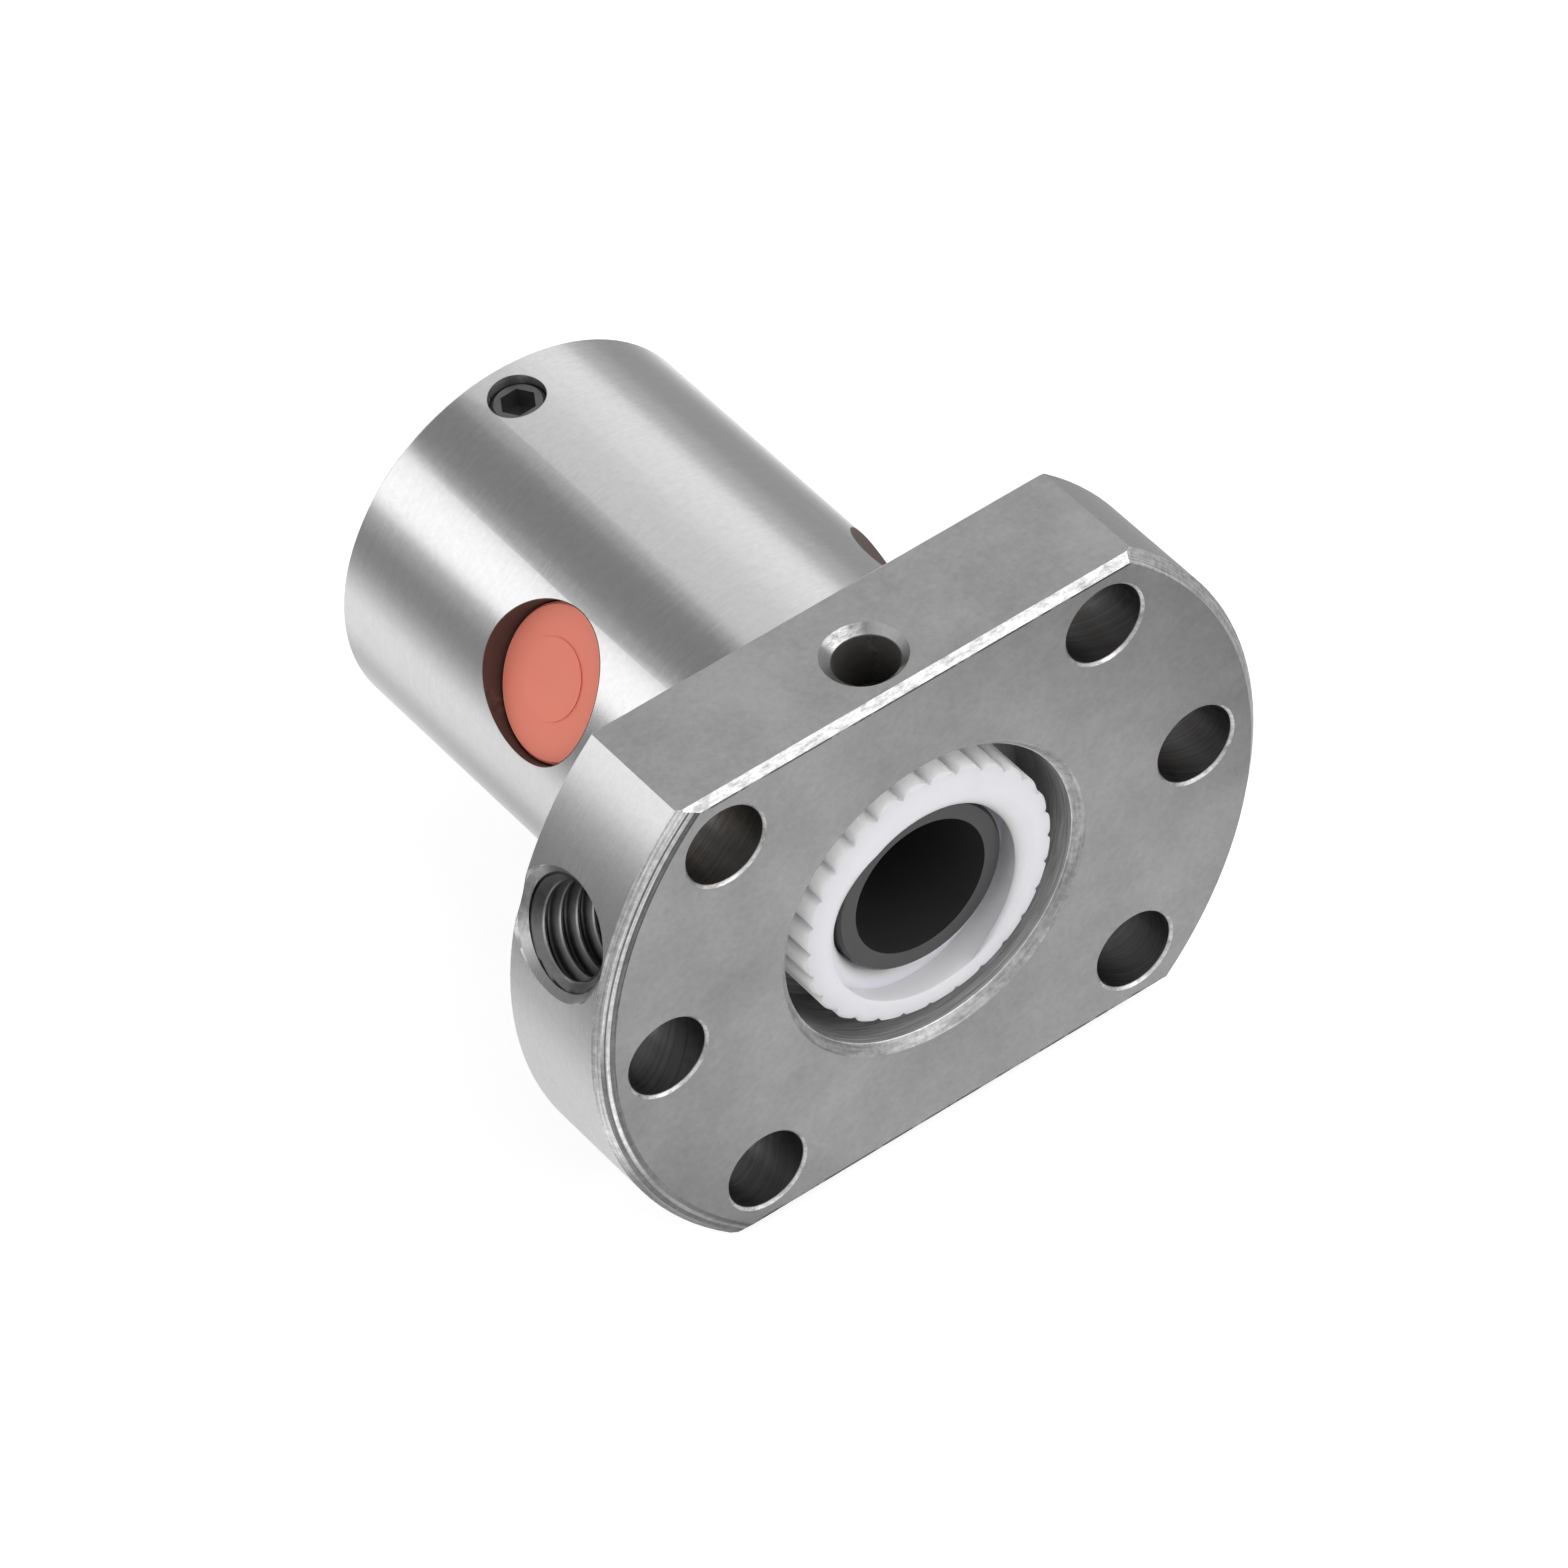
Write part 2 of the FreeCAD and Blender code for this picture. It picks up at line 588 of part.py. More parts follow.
def crossing_channel():
    """Round channel along the balls' way under a cap, run out past its edge at both ends."""
    half_steps = 12
    full_reach = 1.6 * crossing_half_turn()
    spots = [ball_centre(full_reach * step / half_steps) for step in range(-half_steps, half_steps + 1)]
    curve = Part.BSplineCurve()
    curve.interpolate(spots)
    spine = Part.Wire([curve.toShape()])
    heading = curve.tangent(curve.FirstParameter)[0]
    radius = number(f"{BALL_RADIUS} + Sizes.crossing_play")
    profile = Part.Wire([Part.Circle(spots[0], heading, radius).toShape()])
    return spine.makePipeShell([profile], True, True)


def return_cap(index):
    """Plug with a flat outer face, its moulding mark, a hollow underside and the channel."""
    name = f"return_cap_{index + 1}"
    plug = new_body(f"{name}_plug")
    section = new_sketch(plug, f"{name}_section", "XZ_Plane")
    draw_outline(
        section,
        [
            ("0", f"{LAND_RADIUS} / 2"),
            (CAP_RADIUS, f"{LAND_RADIUS} / 2"),
            (CAP_RADIUS, f"{CAP_FACE} - Sizes.cap_edge_chamfer"),
            (f"{CAP_RADIUS} - Sizes.cap_edge_chamfer", CAP_FACE),
            ("0", CAP_FACE),
        ],
    )
    revolve(plug, f"{name}_turned", section)

    mark = new_sketch(plug, f"{name}_mark_outline")
    mark.setExpression(".AttachmentOffset.Base.z", CAP_FACE)
    draw_circle(mark, "0", "Sizes.cap_mark_offset", "Sizes.cap_mark_diameter / 2")
    raised = plug.newObject("PartDesign::Pad", f"{name}_mark")
    raised.Profile = mark
    raised.setExpression("Length", "Sizes.cap_mark_height")

    hollow = new_sketch(plug, f"{name}_hollow_outline", "XZ_Plane")
    draw_circle(hollow, "0", "0", LAND_RADIUS)
    cut_through(plug, f"{name}_hollow", hollow)

    channel = doc.addObject("Part::Feature", f"{name}_channel")
    channel.Shape = crossing_channel()
    cap = doc.addObject("Part::Cut", name)
    cap.Label = name
    cap.Base = plug
    cap.Tool = channel
    cap.Placement = cap_frame(index)
    return cap


# Wipers: moulded rings with rounded teeth outside and a ridge that follows the screw's thread inside


def wiper(name, placement):
    """One wiper, from its outer face at Y 0 inward along +Y, its ridge starting there at turn 0."""
    body = new_body(name)
    section = new_sketch(body, f"{name}_section")
    mouth_start = (WIPER_CREST_RADIUS, "Sizes.wiper_mouth - Sizes.wiper_crown")
    mouth_end = (f"{WIPER_CREST_RADIUS} + Sizes.wiper_mouth", "-Sizes.wiper_crown")
    mouth_centre = (mouth_end[0], mouth_start[1])
    draw_outline(
        section,
        [
            mouth_end,
            (f"{WIPER_BORE_RADIUS} + Sizes.wiper_land", "-Sizes.wiper_crown"),
            (f"{WIPER_RADIUS} - Sizes.wiper_edge_chamfer", "0"),
            (WIPER_RADIUS, "Sizes.wiper_edge_chamfer"),
            (WIPER_RADIUS, WIPER_LENGTH),
            (WIPER_CREST_RADIUS, WIPER_LENGTH),
            mouth_start,
        ],
        {6: (mouth_centre, "Sizes.wiper_mouth", True)},
    )
    revolve(body, f"{name}_ring", section)
    wiper_thread(body, name)
    wiper_flutes(body, name)
    body.Placement = placement
    return body


def wiper_flutes(body, name):
    """Sharp notches between rounded teeth, right along the wiper."""
    half_angle = "(Sizes.tooth_rounding * 180 deg / Sizes.flute_count)"
    valley = f"({WIPER_RADIUS} - Sizes.flute_depth)"
    # A flank is an arc that leaves the outside smoothly and meets its neighbour in the valley
    twice_drop = f"(2 * ({WIPER_RADIUS} - {valley} * cos({half_angle})))"
    centre_reach = f"(({WIPER_RADIUS}^2 - {valley}^2) / {twice_drop})"
    flank = f"({WIPER_RADIUS} - {centre_reach})"
    outside = f"({WIPER_RADIUS} + Sizes.cut_overrun)"

    def polar(radius, side):
        return (f"{radius} * cos({half_angle})", f"{side} * {radius} * sin({half_angle})")

    outline = new_sketch(body, f"{name}_flute_outline", "XZ_Plane")
    outline.setExpression(".AttachmentOffset.Rotation.Angle", "Sizes.flute_turn")
    draw_outline(
        outline,
        [
            polar(WIPER_RADIUS, -1),
            polar(outside, -1),
            polar(outside, 1),
            polar(WIPER_RADIUS, 1),
            (valley, "0"),
        ],
        {3: (polar(centre_reach, 1), flank, False), 4: (polar(centre_reach, -1), flank, False)},
    )
    cut = cut_through(body, f"{name}_flute", outline)
    pattern = body.newObject("PartDesign::PolarPattern", f"{name}_flutes")
    pattern.Originals = [cut]
    pattern.Axis = (origin_feature(body, "Y_Axis"), [""])
    pattern.Angle = 360
    pattern.setExpression("Occurrences", "Sizes.flute_count")
    body.Tip = pattern


def wiper_thread(body, name):
    """Cut for the screw's land, which leaves the round ridge that fills the screw's groove."""
    start = "(-2 * Sizes.screw_lead)"
    following = f"({start} + Sizes.screw_lead)"
    half_ridge = f"sqrt({RIDGE_RADIUS}^2 - ({BALL_CIRCLE_RADIUS} - {WIPER_BORE_RADIUS})^2)"
    half_crest = f"sqrt({RIDGE_RADIUS}^2 - ({BALL_CIRCLE_RADIUS} - {WIPER_CREST_RADIUS})^2)"
    inside = f"({WIPER_CREST_RADIUS} - Sizes.cut_overrun)"
    near_base = (WIPER_BORE_RADIUS, f"{start} + {half_ridge}")
    near_crest = (WIPER_CREST_RADIUS, f"{start} + {half_crest}")
    far_base = (WIPER_BORE_RADIUS, f"{following} - {half_ridge}")
    far_crest = (WIPER_CREST_RADIUS, f"{following} - {half_crest}")
    section = new_sketch(body, f"{name}_thread_section")
    draw_outline(
        section,
        [near_base, far_base, far_crest, (inside, far_crest[1]), (inside, near_crest[1]), near_crest],
        {
            1: ((BALL_CIRCLE_RADIUS, following), RIDGE_RADIUS, False),
            5: ((BALL_CIRCLE_RADIUS, start), RIDGE_RADIUS, False),
        },
    )
    return helical_cut(body, f"{name}_thread", section, f"{WIPER_LENGTH} + 3 * Sizes.screw_lead")


def wiper_frames():
    """Frames of the front and rear wipers, each turned until its ridge follows the track."""
    frames = []
    for face, flip in ((f"{FRONT_FACE} + Sizes.wiper_sink", 0), (f"{REAR_FACE} - Sizes.wiper_sink", 180)):
        place = number(face)
        turn = (place - number(TRACK_PHASE)) / number("Sizes.screw_lead") * 360
        spin = Rotation(Vector(0, 1, 0), flip - turn)
        frames.append(Placement(Vector(0, place, 0), spin.multiply(Rotation(Vector(0, 0, 1), flip))))
    return frames


# Grub screws: dog point, threaded length and hexagon socket


def grub_screw(name, side, top):
    """Grub screw along its own Z, which is its distance from the nut's axis."""
    body = new_body(name)
    radius = f"(Sizes.{side}_screw_hole / 2 - Sizes.screw_fit)"
    tip_radius = f"(Sizes.{side}_screw_tip / 2)"
    tip = f"({WIPER_RADIUS} + Sizes.screw_tip_gap)"
    shoulder = f"({RECESS_RADIUS} + Sizes.screw_fit)"
    chamfer = "Sizes.screw_edge_chamfer"
    section = new_sketch(body, f"{name}_section", "XZ_Plane")
    draw_outline(
        section,
        [
            ("0", tip),
            (tip_radius, tip),
            (tip_radius, shoulder),
            (f"{radius} - {chamfer}", shoulder),
            (radius, f"{shoulder} + {chamfer}"),
            (radius, f"{top} - {chamfer}"),
            (f"{radius} - {chamfer}", top),
            ("0", top),
        ],
    )
    revolve(body, f"{name}_turned", section)

    socket = new_sketch(body, f"{name}_socket_outline")
    socket.setExpression(".AttachmentOffset.Base.z", top)
    corner = f"Sizes.{side}_screw_socket / sqrt(3)"
    corners = [(f"{corner} * cos({60 * step} deg)", f"{corner} * sin({60 * step} deg)") for step in range(6)]
    draw_outline(socket, corners)
    cut = body.newObject("PartDesign::Pocket", f"{name}_socket")
    cut.Profile = socket
    cut.setExpression("Length", "Sizes.socket_depth")
    return body


def front_wiper_screw():
    """Screw in the flat of the flange, deep in its hole."""
    screw = grub_screw("front_wiper_screw", "front", f"({HALF_FLATS} - Sizes.front_screw_sink)")
    place = number(f"{FRONT_FACE} + Sizes.front_screw_inset")
    screw.Placement = outward(number("Sizes.front_screw_turn"), place)
    return screw


def rear_wiper_screw():
    """Screw in the barrel, just under its surface."""
    screw = grub_screw("rear_wiper_screw", "rear", f"({BARREL_RADIUS} - Sizes.rear_screw_sink)")
    place = number(f"{REAR_FACE} - Sizes.rear_screw_inset")
    screw.Placement = outward(number("Sizes.rear_screw_turn"), place)
    return screw


# Transport sleeve


def transport_sleeve():
    """Plain tube of the screw's core size, which holds the balls in their track."""
    body = new_body("transport_sleeve")
    inner = f"({SLEEVE_RADIUS} - Sizes.sleeve_wall)"
    front = f"({FRONT_FACE} + Sizes.sleeve_sink)"
    rear = f"({REAR_FACE} - Sizes.sleeve_sink)"
    chamfer = "Sizes.sleeve_chamfer"
    section = new_sketch(body, "sleeve_section")
    draw_outline(
        section,
        [
            (inner, front),
            (f"{SLEEVE_RADIUS} - {chamfer}", front),
            (SLEEVE_RADIUS, f"{front} + {chamfer}"),
            (SLEEVE_RADIUS, f"{rear} - {chamfer}"),
            (f"{SLEEVE_RADIUS} - {chamfer}", rear),
            (inner, rear),
        ],
    )
    revolve(body, "sleeve_turned", section)
    return body


# Assembly

front_frame, rear_frame = wiper_frames()
pieces = [nut_body()]
pieces.append(wiper("front_wiper", front_frame))
pieces.append(wiper("rear_wiper", rear_frame))
pieces.append(front_wiper_screw())
pieces.append(rear_wiper_screw())
pieces.append(transport_sleeve())
for circuit in range(int(number("Sizes.circuit_count"))):
    pieces.append(return_cap(circuit))
    pieces.extend(circuit_balls(circuit))
doc.recompute()

for item in doc.Objects:
    if "Invalid" in item.State or "Error" in item.State:
        raise RuntimeError(f"{item.Name} failed: {item.State}")
for piece in pieces:
    if piece.Shape.isNull() or not piece.Shape.isValid() or len(piece.Shape.Solids) != 1:
        raise RuntimeError(f"{piece.Name} is not one valid solid")
    piece.Shape.exportStep(f"parts/{piece.Label}.step")
    if "ball" not in piece.Label:
        print(f"{piece.Label}: {piece.Shape.Volume:.2f} mm3, {len(piece.Shape.Faces)} faces")
print(f"{len(pieces)} pieces, overall length {number(REAR_FACE) - number(FRONT_FACE):.3f} mm")
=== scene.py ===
import json
import math

import bpy
from mathutils import Matrix, Vector


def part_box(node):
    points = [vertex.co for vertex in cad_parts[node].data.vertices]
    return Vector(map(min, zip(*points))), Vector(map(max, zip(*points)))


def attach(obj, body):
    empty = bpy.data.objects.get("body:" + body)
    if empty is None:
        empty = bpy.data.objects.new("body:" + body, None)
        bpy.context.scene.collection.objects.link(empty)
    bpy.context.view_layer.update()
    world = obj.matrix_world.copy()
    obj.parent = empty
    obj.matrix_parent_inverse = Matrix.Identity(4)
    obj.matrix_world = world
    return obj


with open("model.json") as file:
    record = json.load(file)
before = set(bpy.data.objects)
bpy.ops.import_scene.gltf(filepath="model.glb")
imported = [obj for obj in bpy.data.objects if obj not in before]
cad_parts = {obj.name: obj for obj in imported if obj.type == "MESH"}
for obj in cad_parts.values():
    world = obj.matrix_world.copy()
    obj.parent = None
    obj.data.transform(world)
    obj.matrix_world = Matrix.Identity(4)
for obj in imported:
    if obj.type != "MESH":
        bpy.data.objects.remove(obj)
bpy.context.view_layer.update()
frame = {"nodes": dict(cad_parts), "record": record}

# %% [markdown]
# # A ball screw nut, dressed for its picture
# The nut is a round steel barrel with a flange. It comes from the construction model, already to
# size and in place, and this lesson gives it its finishes, the thread in its grease port, its light
# and its camera. The axis of the bore is Y, the flange lies at the front, and Z is square to the
# flange's two flats.

# %% The construction model's box and parts
nodes = frame["nodes"]
MM = 0.001


def in_mm(box):
    """Both corners of a box in millimetres, to a hundredth."""
    return [tuple(round(value / MM, 2) for value in corner) for corner in box]


# %% [markdown]
# ## Sizes that the finishes need
# The finishes change from place to place: a hole is dark, an edge is bright. The nut's box and the
# record's mounts give the main places, so that the finishes follow the construction model. What
# neither of them states is written out. A turn is counted about Y, from +X towards +Z.

# %% Places on the nut
nut_low, nut_high = in_mm(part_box("nut_body"))
FLANGE_FRONT = nut_low[1] * MM
NUT_END = nut_high[1] * MM
FLAT_HEIGHT = nut_high[2] * MM
FLANGE_RADIUS = -nut_low[0] * MM

mounts = {mount["name"]: mount for mount in frame["record"]["mounts"]}
BARREL_RADIUS = mounts["barrel"]["dims"]["r_mm"] * MM
BOLT_CIRCLE_RADIUS = mounts["side_bolts"]["dims"]["spacing_x_mm"] / 2 * MM
BOLT_HOLE_RADIUS = mounts["side_bolts"]["dims"]["hole_r_mm"] * MM
port_x, _, port_z = mounts["grease_port"]["axis"]
PORT_TURN = round(math.degrees(math.atan2(port_z, port_x)), 1)
PORT_PLACE = mounts["grease_port"]["pos_m"][1]

BOLT_TURNS = (-45, 0, 45, 135, 180, 225)
PORT_MOUTH_RADIUS = 3.33 * MM
FLAT_CHAMFER = 0.4 * MM
RECESS_RADIUS = 8.65 * MM
RECESS_DEPTH = 5.35 * MM
SCREW_LEAD = 4.0 * MM
CAP_HOLE_RADIUS = 4.1 * MM
FIRST_CAP_TURN = 25.8
FIRST_CAP_PLACE = 6.6 * MM
CAP_STEP = SCREW_LEAD * 4 / 3
CAPS = [(FIRST_CAP_TURN + 120 * index, FIRST_CAP_PLACE + CAP_STEP * index) for index in range(3)]
FRONT_SCREW = (91.75, -4.5 * MM, 1.7 * MM)
REAR_SCREW = (93.1, 24.85 * MM, 1.5 * MM)
SKIN = 0.04 * MM


def direction(turn):
    """Direction out from the nut's axis at a turn."""
    return Vector((math.cos(math.radians(turn)), 0, math.sin(math.radians(turn))))


print("flange radius and barrel radius in mm:", FLANGE_RADIUS / MM, BARREL_RADIUS / MM)
print("grease port at", PORT_TURN, "degrees")
print("caps at", [(round(turn, 1), round(place / MM, 2)) for turn, place in CAPS])

# %% [markdown]
# ## The camera
# The photograph was taken with a long lens, so its parallel edges stay nearly parallel. The camera
# stands where the flange's rim, its holes and the barrel all fall on their places in the picture.
# A constraint that aims it at the nut would be shorter, but it would keep the camera level. This
# one is turned a little about its own axis, so its three directions are written as a matrix.

# %% Camera
CAMERA_PLACE = Vector((-0.194097, -0.314159, 0.371291))
CAMERA_RIGHT = Vector((0.803289, -0.589298, -0.086338))
CAMERA_UP = Vector((0.468557, 0.535793, 0.702410))
CAMERA_BACK = Vector((-0.367670, -0.604693, 0.706516))
FOCAL_LENGTH = 246.15

camera_data = bpy.data.cameras.new("camera")
camera_data.lens = FOCAL_LENGTH
camera_data.sensor_width = 36
camera_data.clip_start = 0.01
camera_data.clip_end = 20
camera = bpy.data.objects.new("camera", camera_data)
turned = Matrix((CAMERA_RIGHT, CAMERA_UP, CAMERA_BACK)).transposed().to_4x4()
camera.matrix_world = Matrix.Translation(CAMERA_PLACE) @ turned
bpy.context.scene.collection.objects.link(camera)
bpy.context.scene.camera = camera
bpy.context.scene.view_settings.view_transform = "Standard"
print("camera is", round(CAMERA_PLACE.length, 3), "m from the flange")

# %% [markdown]
# ## A short way to write graphs
# Materials and Geometry Nodes are graphs of small steps. This helper keeps such a graph short to
# write: a step is made by its type, plain numbers are set on its sockets, and the outputs of other
# steps are linked to them.


# %% Graph helper
class Graph:
    """Short way to add linked nodes to a node tree."""

    def __init__(self, tree):
        self.tree = tree

    def add(self, kind, inputs=None, **settings):
        """New node: settings are its own properties, inputs are values or other nodes' outputs."""
        node = self.tree.nodes.new(kind)
        for name, value in settings.items():
            setattr(node, name, value)
        for key, value in (inputs or {}).items():
            self.feed(node.inputs[key], value)
        return node

    def feed(self, socket, value):
        """Link an output to a socket, or set the socket's own value."""
        if isinstance(value, bpy.types.NodeSocket):
            self.tree.links.new(value, socket)
        elif isinstance(value, bpy.types.Node):
            self.tree.links.new(value.outputs[0], socket)
        else:
            socket.default_value = value

    def math(self, operation, *values, clamp=False):
        """Arithmetic step."""
        inputs = dict(enumerate(values))
        return self.add("ShaderNodeMath", inputs, operation=operation, use_clamp=clamp).outputs[0]

    def split(self, vector):
        """The three numbers of a vector."""
        return self.add("ShaderNodeSeparateXYZ", {0: vector}).outputs

    def join(self, x=0.0, y=0.0, z=0.0):
        """Vector of three numbers."""
        return self.add("ShaderNodeCombineXYZ", {0: x, 1: y, 2: z}).outputs[0]

    def above(self, value, low, high):
        """0 below low, 1 above high and a smooth rise between them; it falls if low is the larger."""
        inputs = {"Value": value, "From Min": low, "From Max": high}
        step = self.add("ShaderNodeMapRange", inputs, interpolation_type="SMOOTHSTEP")
        return step.outputs["Result"]

    def between(self, value, low, high, soft):
        """1 from low to high, 0 outside, with soft edges."""
        rise = self.above(value, low - soft, low + soft)
        fall = self.above(value, high - soft, high + soft)
        return self.math("SUBTRACT", rise, fall, clamp=True)

    def both(self, *masks):
        """Where all masks are 1."""
        result = masks[0]
        for mask in masks[1:]:
            result = self.math("MULTIPLY", result, mask)
        return result

    def any_of(self, *masks):
        """Where at least one mask is 1."""
        result = masks[0]
        for mask in masks[1:]:
            result = self.math("MAXIMUM", result, mask)
        return result

    def length(self, first, second):
        """Length of a step of first and second at right angles."""
        square = self.math("MULTIPLY", second, second)
        return self.math("SQRT", self.math("MULTIPLY_ADD", first, first, square))

    def mix(self, factor, first, second, blend="MIX"):
        """Colour mix: the mix node's inputs 6 and 7 are its colours, and its output 2 is the result."""
        inputs = {"Factor": factor, 6: first, 7: second}
        return self.add("ShaderNodeMix", inputs, data_type="RGBA", blend_type=blend).outputs[2]

    def blend(self, factor, first, second):
        """Number mix: the mix node's inputs 2 and 3 are its numbers."""
        inputs = {"Factor": factor, 2: first, 3: second}
        return self.add("ShaderNodeMix", inputs, data_type="FLOAT").outputs[0]

    def noise(self, vector, scale, detail=2.0, roughness=0.5):
        """Noise between 0 and 1."""
        inputs = {"Vector": vector, "Scale": scale, "Detail": detail, "Roughness": roughness}
        return self.add("ShaderNodeTexNoise", inputs).outputs[0]

    def tint(self, colour, shade):
        """Colour made lighter or darker by a number."""
        tone = self.add("ShaderNodeCombineColor", {0: shade, 1: shade, 2: shade})
        return self.mix(1.0, colour, tone.outputs[0], "MULTIPLY")


def grey(value):
    """Neutral colour."""
    return (value, value, value, 1)


def new_material(name):
    """Empty material with its graph and its Principled shader."""
    material = bpy.data.materials.new(name)
    material.use_nodes = True
    material.node_tree.nodes.clear()
    graph = Graph(material.node_tree)
    shader = graph.add("ShaderNodeBsdfPrincipled")
    graph.add("ShaderNodeOutputMaterial", {"Surface": shader})
    return material, graph, shader


def new_group(name, inputs, outputs):
    """Empty shader node group with its sockets, given as names and socket types."""
    tree = bpy.data.node_groups.new(name, "ShaderNodeTree")
    for socket, kind in inputs.items():
        tree.interface.new_socket(socket, in_out="INPUT", socket_type=kind)
    for socket in outputs:
        tree.interface.new_socket(socket, in_out="OUTPUT", socket_type="NodeSocketFloat")
    graph = Graph(tree)
    return tree, graph, graph.add("NodeGroupInput").outputs


def dress(node_names, material):
    """Give CAD nodes their finish."""
    for name in node_names:
        slots = nodes[name].data.materials
        slots.clear()
        slots.append(material)
    print(material.name, "on", len(node_names), "node(s)")


print("helpers ready")

# %% [markdown]
# ## Grain
# Steel that was turned or ground on a spindle carries fine lines round the axis. A picture of such
# steel would have to be unwrapped onto every face. Noise needs only the place of a point, so the
# lines are noise on stretched coordinates: slow round the axis, quick along it and across it. The
# group also gives a fine grit and broad clouds, which every ground face shows under soft light.


# %% Grain group
def grain_group():
    """Shader node group: lines round the Y axis, grit and clouds, from Object coordinates."""
    inputs = {"Vector": "NodeSocketVector", "Lines per mm": "NodeSocketFloat"}
    tree, graph, given = new_group("spindle grain", inputs, ("Lines", "Grit", "Clouds"))
    x, y, z = graph.split(given["Vector"])
    turn = graph.math("ARCTAN2", z, x)
    across = graph.math("MULTIPLY_ADD", y, 1.7, graph.length(x, z))
    per_metre = graph.math("MULTIPLY", given["Lines per mm"], 1 / MM)
    stretched = graph.join(graph.math("MULTIPLY", turn, 2.5), graph.math("MULTIPLY", across, per_metre))
    lines = graph.noise(stretched, 1.0, detail=4.0, roughness=0.7)
    grit = graph.noise(given["Vector"], 2600.0, detail=3.0, roughness=0.7)
    clouds = graph.noise(given["Vector"], 260.0, detail=4.0, roughness=0.6)
    graph.add("NodeGroupOutput", {"Lines": lines, "Grit": grit, "Clouds": clouds})
    return tree


spindle_grain = grain_group()
print("group", spindle_grain.name, "gives", [item.name for item in spindle_grain.interface.items_tree])

# %% [markdown]
# ## Holes that point at the axis
# Caps, grub screws and the grease port sit in round holes square to the nut's axis. The walls of
# these holes are part of the nut's one mesh, so its material has to know where they are. This group
# tells where a point lies in such a hole: whether it is on the hole's wall, how high above the
# nut's axis, and how far from the hole's own. It is built once, and each hole sets its own values.


# %% Hole group
def hole_group():
    """Shader node group: mask and height of a hole that points at the Y axis."""
    inputs = {
        "Vector": "NodeSocketVector",
        "Direction": "NodeSocketVector",
        "Place": "NodeSocketFloat",
        "Radius": "NodeSocketFloat",
    }
    tree, graph, given = new_group("radial hole", inputs, ("Inside", "Height", "Off axis"))
    ends = {0: given["Vector"], 1: graph.join(y=given["Place"])}
    offset = graph.add("ShaderNodeVectorMath", ends, operation="SUBTRACT").outputs[0]
    both = {0: offset, 1: given["Direction"]}
    height = graph.add("ShaderNodeVectorMath", both, operation="DOT_PRODUCT").outputs["Value"]
    reach = graph.add("ShaderNodeVectorMath", {0: offset}, operation="LENGTH").outputs["Value"]
    height_square = graph.math("MULTIPLY", height, height)
    square = graph.math("SUBTRACT", graph.math("MULTIPLY", reach, reach), height_square)
    off_axis = graph.math("SQRT", square)
    near = graph.math("LESS_THAN", off_axis, given["Radius"])
    inside = graph.both(near, graph.math("GREATER_THAN", height, 0.0))
    graph.add("NodeGroupOutput", {"Inside": inside, "Height": height, "Off axis": off_axis})
    return tree


radial_hole = hole_group()


def hole(graph, place, turn, along, radius):
    """The group's outputs for one hole."""
    node = graph.add("ShaderNodeGroup", node_tree=radial_hole)
    graph.feed(node.inputs["Vector"], place)
    node.inputs["Direction"].default_value = direction(turn)
    node.inputs["Place"].default_value = along
    node.inputs["Radius"].default_value = radius
    return node.outputs


def in_hole(graph, place, turn, along, radius):
    """Mask of one hole, a skin wider than the hole itself."""
    return hole(graph, place, turn, along, radius + SKIN)["Inside"]


print("group", radial_hole.name, "gives", [item.name for item in radial_hole.interface.items_tree])

# %% [markdown]
# ## Ground steel: places
# The nut is one piece of bearing steel with several finishes. The barrel and the rim were ground
# round, and mirror the lamps in clean bands. The flange's flat faces are duller. The chamfers were
# left by the tool and glitter, and some holes are dark. Each finish could be a material of
# its own on faces picked by hand, but the mesh is renewed with the construction model. So one
# material holds them all, and picks each finish by where a point lies on the nut and by which way
# its surface faces. The first step is a mask for each of these places.


# %% Masks of the places on the nut's body
SQUARE = 0.95
SOFT = 0.02 * MM
OILY_TURN = 135
BOLT_HOLE_EDGE = 0.12 * MM
LIP_DEPTH = 0.45 * MM
LIP_WIDTH = 0.6 * MM
RIM_BAND = 0.5 * MM
RIM_CHAMFER = 0.64 * MM
SECOND_CHAMFER = 1.2 * MM
END_CHAMFER = 0.5 * MM
PAINTED_BURR_SHADOW_WIDTH = 0.12 * MM


def bolt_hole_mask(graph, x, y, z, turns):
    """Walls of the bolt holes at these turns, which lie along Y."""
    walls = []
    for turn in turns:
        spot = direction(turn) * BOLT_CIRCLE_RADIUS
        off = graph.length(graph.math("SUBTRACT", x, spot.x), graph.math("SUBTRACT", z, spot.z))
        walls.append(graph.math("LESS_THAN", off, BOLT_HOLE_RADIUS + SKIN))
    inner = graph.between(y, FLANGE_FRONT + BOLT_HOLE_EDGE, -BOLT_HOLE_EDGE, SOFT)
    return graph.both(graph.any_of(*walls), inner)


def recess_mask(graph, y, radius):
    """Walls and floors of the two recesses round the wipers."""
    within = graph.math("LESS_THAN", radius, RECESS_RADIUS + SKIN)
    bottom = RECESS_DEPTH + SKIN
    front = graph.between(y, FLANGE_FRONT + LIP_DEPTH, FLANGE_FRONT + bottom, SOFT)
    rear = graph.between(y, NUT_END - bottom, NUT_END - LIP_DEPTH, SOFT)
    return graph.both(within, graph.any_of(front, rear))


